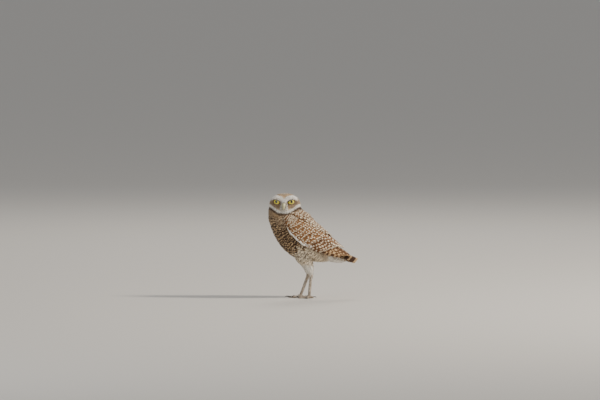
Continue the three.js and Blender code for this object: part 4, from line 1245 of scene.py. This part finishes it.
# Bristles. Stiff bare feather shafts of keratin, rooted in the skin round the bill. They curve forward and
# down, and hide its sides.
bristles, bristle_spots = [], []
for k in range(320):
    side = -1 if k % 2 else 1
    height = random.uniform(-4.0, 9.0)
    apart = random.uniform(0.6, 3.2) if height > 7 else random.uniform(3.0, 6.0)
    start = head_point(side * apart, height, 22.0 + 0.25 * min(height, 4))
    way = (
        FACE_WAY * random.uniform(0.6, 1.0)
        - UP * random.uniform(0.35, 1.0)
        + CHEEK_WAY * side * random.uniform(-0.45, 0.1)
    )
    length = random.uniform(5.0, 8.5)
    bend = -UP * 1.6 - CHEEK_WAY * side * random.uniform(0.0, 1.2)
    path = [start + way * length * t + bend * t * t for t in (0, 0.35, 0.7, 1)]
    bristles.append(bar(path, lambda share: 0.2 * (1 - share) + 0.03, 4, 4))
    spot = np.array([0.1 + 0.8 * (k % 18) / 18, 0.1 + 0.8 * (k // 18) / 18])
    bristle_spots.append(spot + PATCH * np.linspace(-0.5, 0.5, len(bristles[k][0]))[:, None])
paint = Paint("bristles", 0.6)
paint.put("Base Color", paint.mix(paint.noise(420).ramp(0.52, 0.62), colour("e9e2d2"), colour("5c4a3a")))
uvs = {"OFBake": np.concatenate(bristle_spots)}
form_piece("bristles", joined(bristles), paint.material, "pale_feather", uvs=uvs)

# Legs and feet. Thin shanks of bone in scaly hide that come out of the thighs, pads and toes of the same,
# and dark curved claws of horn on the toes' ends.
TOES = {"inner": (-24, 19, 10), "middle": (6, 22, 9.5), "outer": (62, 16, 8), "hind": (196, 9.5, 8)}
paint = Paint("scaly_leg", 0.62)
inputs = {"Vector": paint.place, "Scale": 1100.0}
seam = paint.node("TexVoronoi", "Distance", inputs, feature="DISTANCE_TO_EDGE").ramp(0.0, 0.16)
hide = paint.mix(paint.noise(90, 3.0), colour("8d7c6b"), colour("b5a693"))
paint.put("Base Color", paint.mix(seam, colour("77695b"), hide))
paint.bump(seam, 0.7, 0.00018)
leg_material = paint.material
paint = Paint("horn_of_claws", 0.22)
paint.put("Base Color", paint.mix(paint.noise(500), colour("171310"), colour("3a302a")))
paint.put("Coat Weight", 0.4)
claw_material = paint.material


def shank_path(side, ankle, foot):
    """Places down the middle of a shank."""
    y = side * LEG_APART
    return [
        (ankle + 0.8, y, ANKLE_HEIGHT + 1),
        (ankle + (foot - ankle) * 0.3, y, ANKLE_HEIGHT * 0.72),
        (ankle + (foot - ankle) * 0.75, y, ANKLE_HEIGHT * 0.3),
        (foot, y, 4.4),
    ]


def shank_radius(share):
    """A shank's radius, widest at the ankle's knuckle."""
    return 2.7 + 1.4 * gauss(share, 0.12)


def flattened(form):
    """A form with nothing below the floor: its sole is pressed flat where it would be."""
    points, faces = form
    return np.column_stack([points[:, :2], np.maximum(points[:, 2], -SHIFT[2])]), faces


for name, (side, knee, ankle, foot) in LEGS.items():
    radius = lambda share: shank_radius(share) + 0.5 * gauss(share - 1, 0.1)
    scutes = lambda share, turn: 0.1 * np.sin(share * 90) * smooth_step(0.4, -0.4, np.cos(turn))
    shank = bar(shank_path(side, ankle, foot), radius, 48, 28, scutes)
    form_piece(f"shank_{name}", shank, leg_material, "leg", f"tarsus_{name}")
    heel = np.array([foot - 0.6, side * LEG_APART, 0.0])
    pad = flattened(ball(heel + [0, 0, 3.4], (4.9, 4.4, 3.6)))
    form_piece(f"foot_pad_{name}", pad, leg_material, "leg", f"foot_{name}")
    for toe, (heading, length, claw) in TOES.items():
        turn = math.radians(heading)
        way = np.array([-math.cos(turn), side * math.sin(turn), 0.0])
        at = lambda distance, height: heel + way * distance + UP * height
        path = [at(1, 3.2), at(5, 2.7), at(length * 0.55, 1.75), at(length, 1.6)]
        pads = lambda share: 2.2 - 0.35 * share + 0.22 * np.cos(share * 5 * math.pi)
        bumps = lambda share: 0.11 * np.abs(np.sin(share * length * 1.25))
        under = lambda share, turn: bumps(share) * smooth_step(0.1, -0.7, np.sin(turn))
        toe_form = bar(path, pads, 44, 22, under)
        toe_name = f"toe_{name}_{toe}"
        form_piece(toe_name + "_scaled", flattened(toe_form), leg_material, "leg", toe_name)
        stations = ((0.2, 3), (0.5, 2.9), (0.74, 1.9), (0.84, 0.6))
        path = [at(length - 1.6, 1.7)] + [at(length + claw * out, height) for out, height in stations]
        claw_form = bar(path, lambda share: 1.35 * np.maximum(1 - share, 0) ** 0.8 + 0.22, 26, 18)
        claw_name = f"claw_{name}_{toe}"
        form_piece(claw_name + "_curved", flattened(claw_form), claw_material, "claw", claw_name)

# Shank feathers. Short stiff ones of keratin, rooted in the hide all round each shank. They grow down it,
# ever fewer towards the foot.
tufts = []
for name, (side, knee, ankle, foot) in LEGS.items():
    for k in range(330):
        share = 0.78 * random.random() ** 1.5
        turn = random.uniform(0, 2 * math.pi)
        place, way, across, over = path_frames(shank_path(side, ankle, foot), [share, share + 0.06])
        out = across[0] * math.cos(turn) + over[0] * math.sin(turn)
        length = random.uniform(2.6, 4.2) * (1 - 0.4 * share)
        ground = mixed(BUFF, WHITE, random.uniform(0.2, 0.9))
        root = place[0] + out * shank_radius(share)
        tufts.append((root, way[0], out, length, random.uniform(0.25, 0.42), 0.6, ground))
small_vanes("shank_feathers", tufts, "pale_feather")

# Floor and light. A plain pale floor under a soft sky, with one bright light high on the right, a weak one on
# the left and one behind the owl.
FLOOR_REACH = 90  # metres each way, so that its edge lies beyond the view
floor_mesh = bpy.data.meshes.new("floor")
corners = [(x * FLOOR_REACH, y * FLOOR_REACH, 0) for x, y in ((-1, -1), (1, -1), (1, 1), (-1, 1))]
floor_mesh.from_pydata(corners, [], [(0, 1, 2, 3)])
floor = bpy.data.objects.new("floor", floor_mesh)
bpy.context.scene.collection.objects.link(floor)
paint = Paint("floor", 0.8)
paint.put("Base Color", (0.62, 0.58, 0.52, 1))
floor_mesh.materials.append(paint.material)
floor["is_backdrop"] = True

world = bpy.data.worlds.new("sky")
world.use_nodes = True
world.node_tree.nodes["Background"].inputs[0].default_value = (0.92, 0.95, 1.0, 1)
world.node_tree.nodes["Background"].inputs[1].default_value = 0.42
bpy.context.scene.world = world


def area_light(name, place, size, power, tint):
    """A round light that looks at the middle of the owl."""
    light = bpy.data.lights.new(name, "AREA")
    light.shape, light.size, light.energy, light.color = "DISK", size, power, tint
    lamp = bpy.data.objects.new(name, light)
    lamp.location = place
    lamp.rotation_mode = "QUATERNION"
    lamp.rotation_quaternion = (Vector((0, 0, 0.11)) - Vector(place)).to_track_quat("-Z", "Y")
    bpy.context.scene.collection.objects.link(lamp)


area_light("sun_side", (2.4, -1.2, 2.1), 0.6, 125, (1.0, 0.94, 0.85))
area_light("fill", (-2.0, -2.2, 1.2), 1.6, 14, (0.9, 0.95, 1.0))
area_light("rim", (0.6, 2.6, 2.2), 1.2, 26, (1.0, 0.97, 0.92))

boxes = {"cad": cad_box, "visual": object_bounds()}
{key: [list(low), list(high)] for key, (low, high) in boxes.items()}
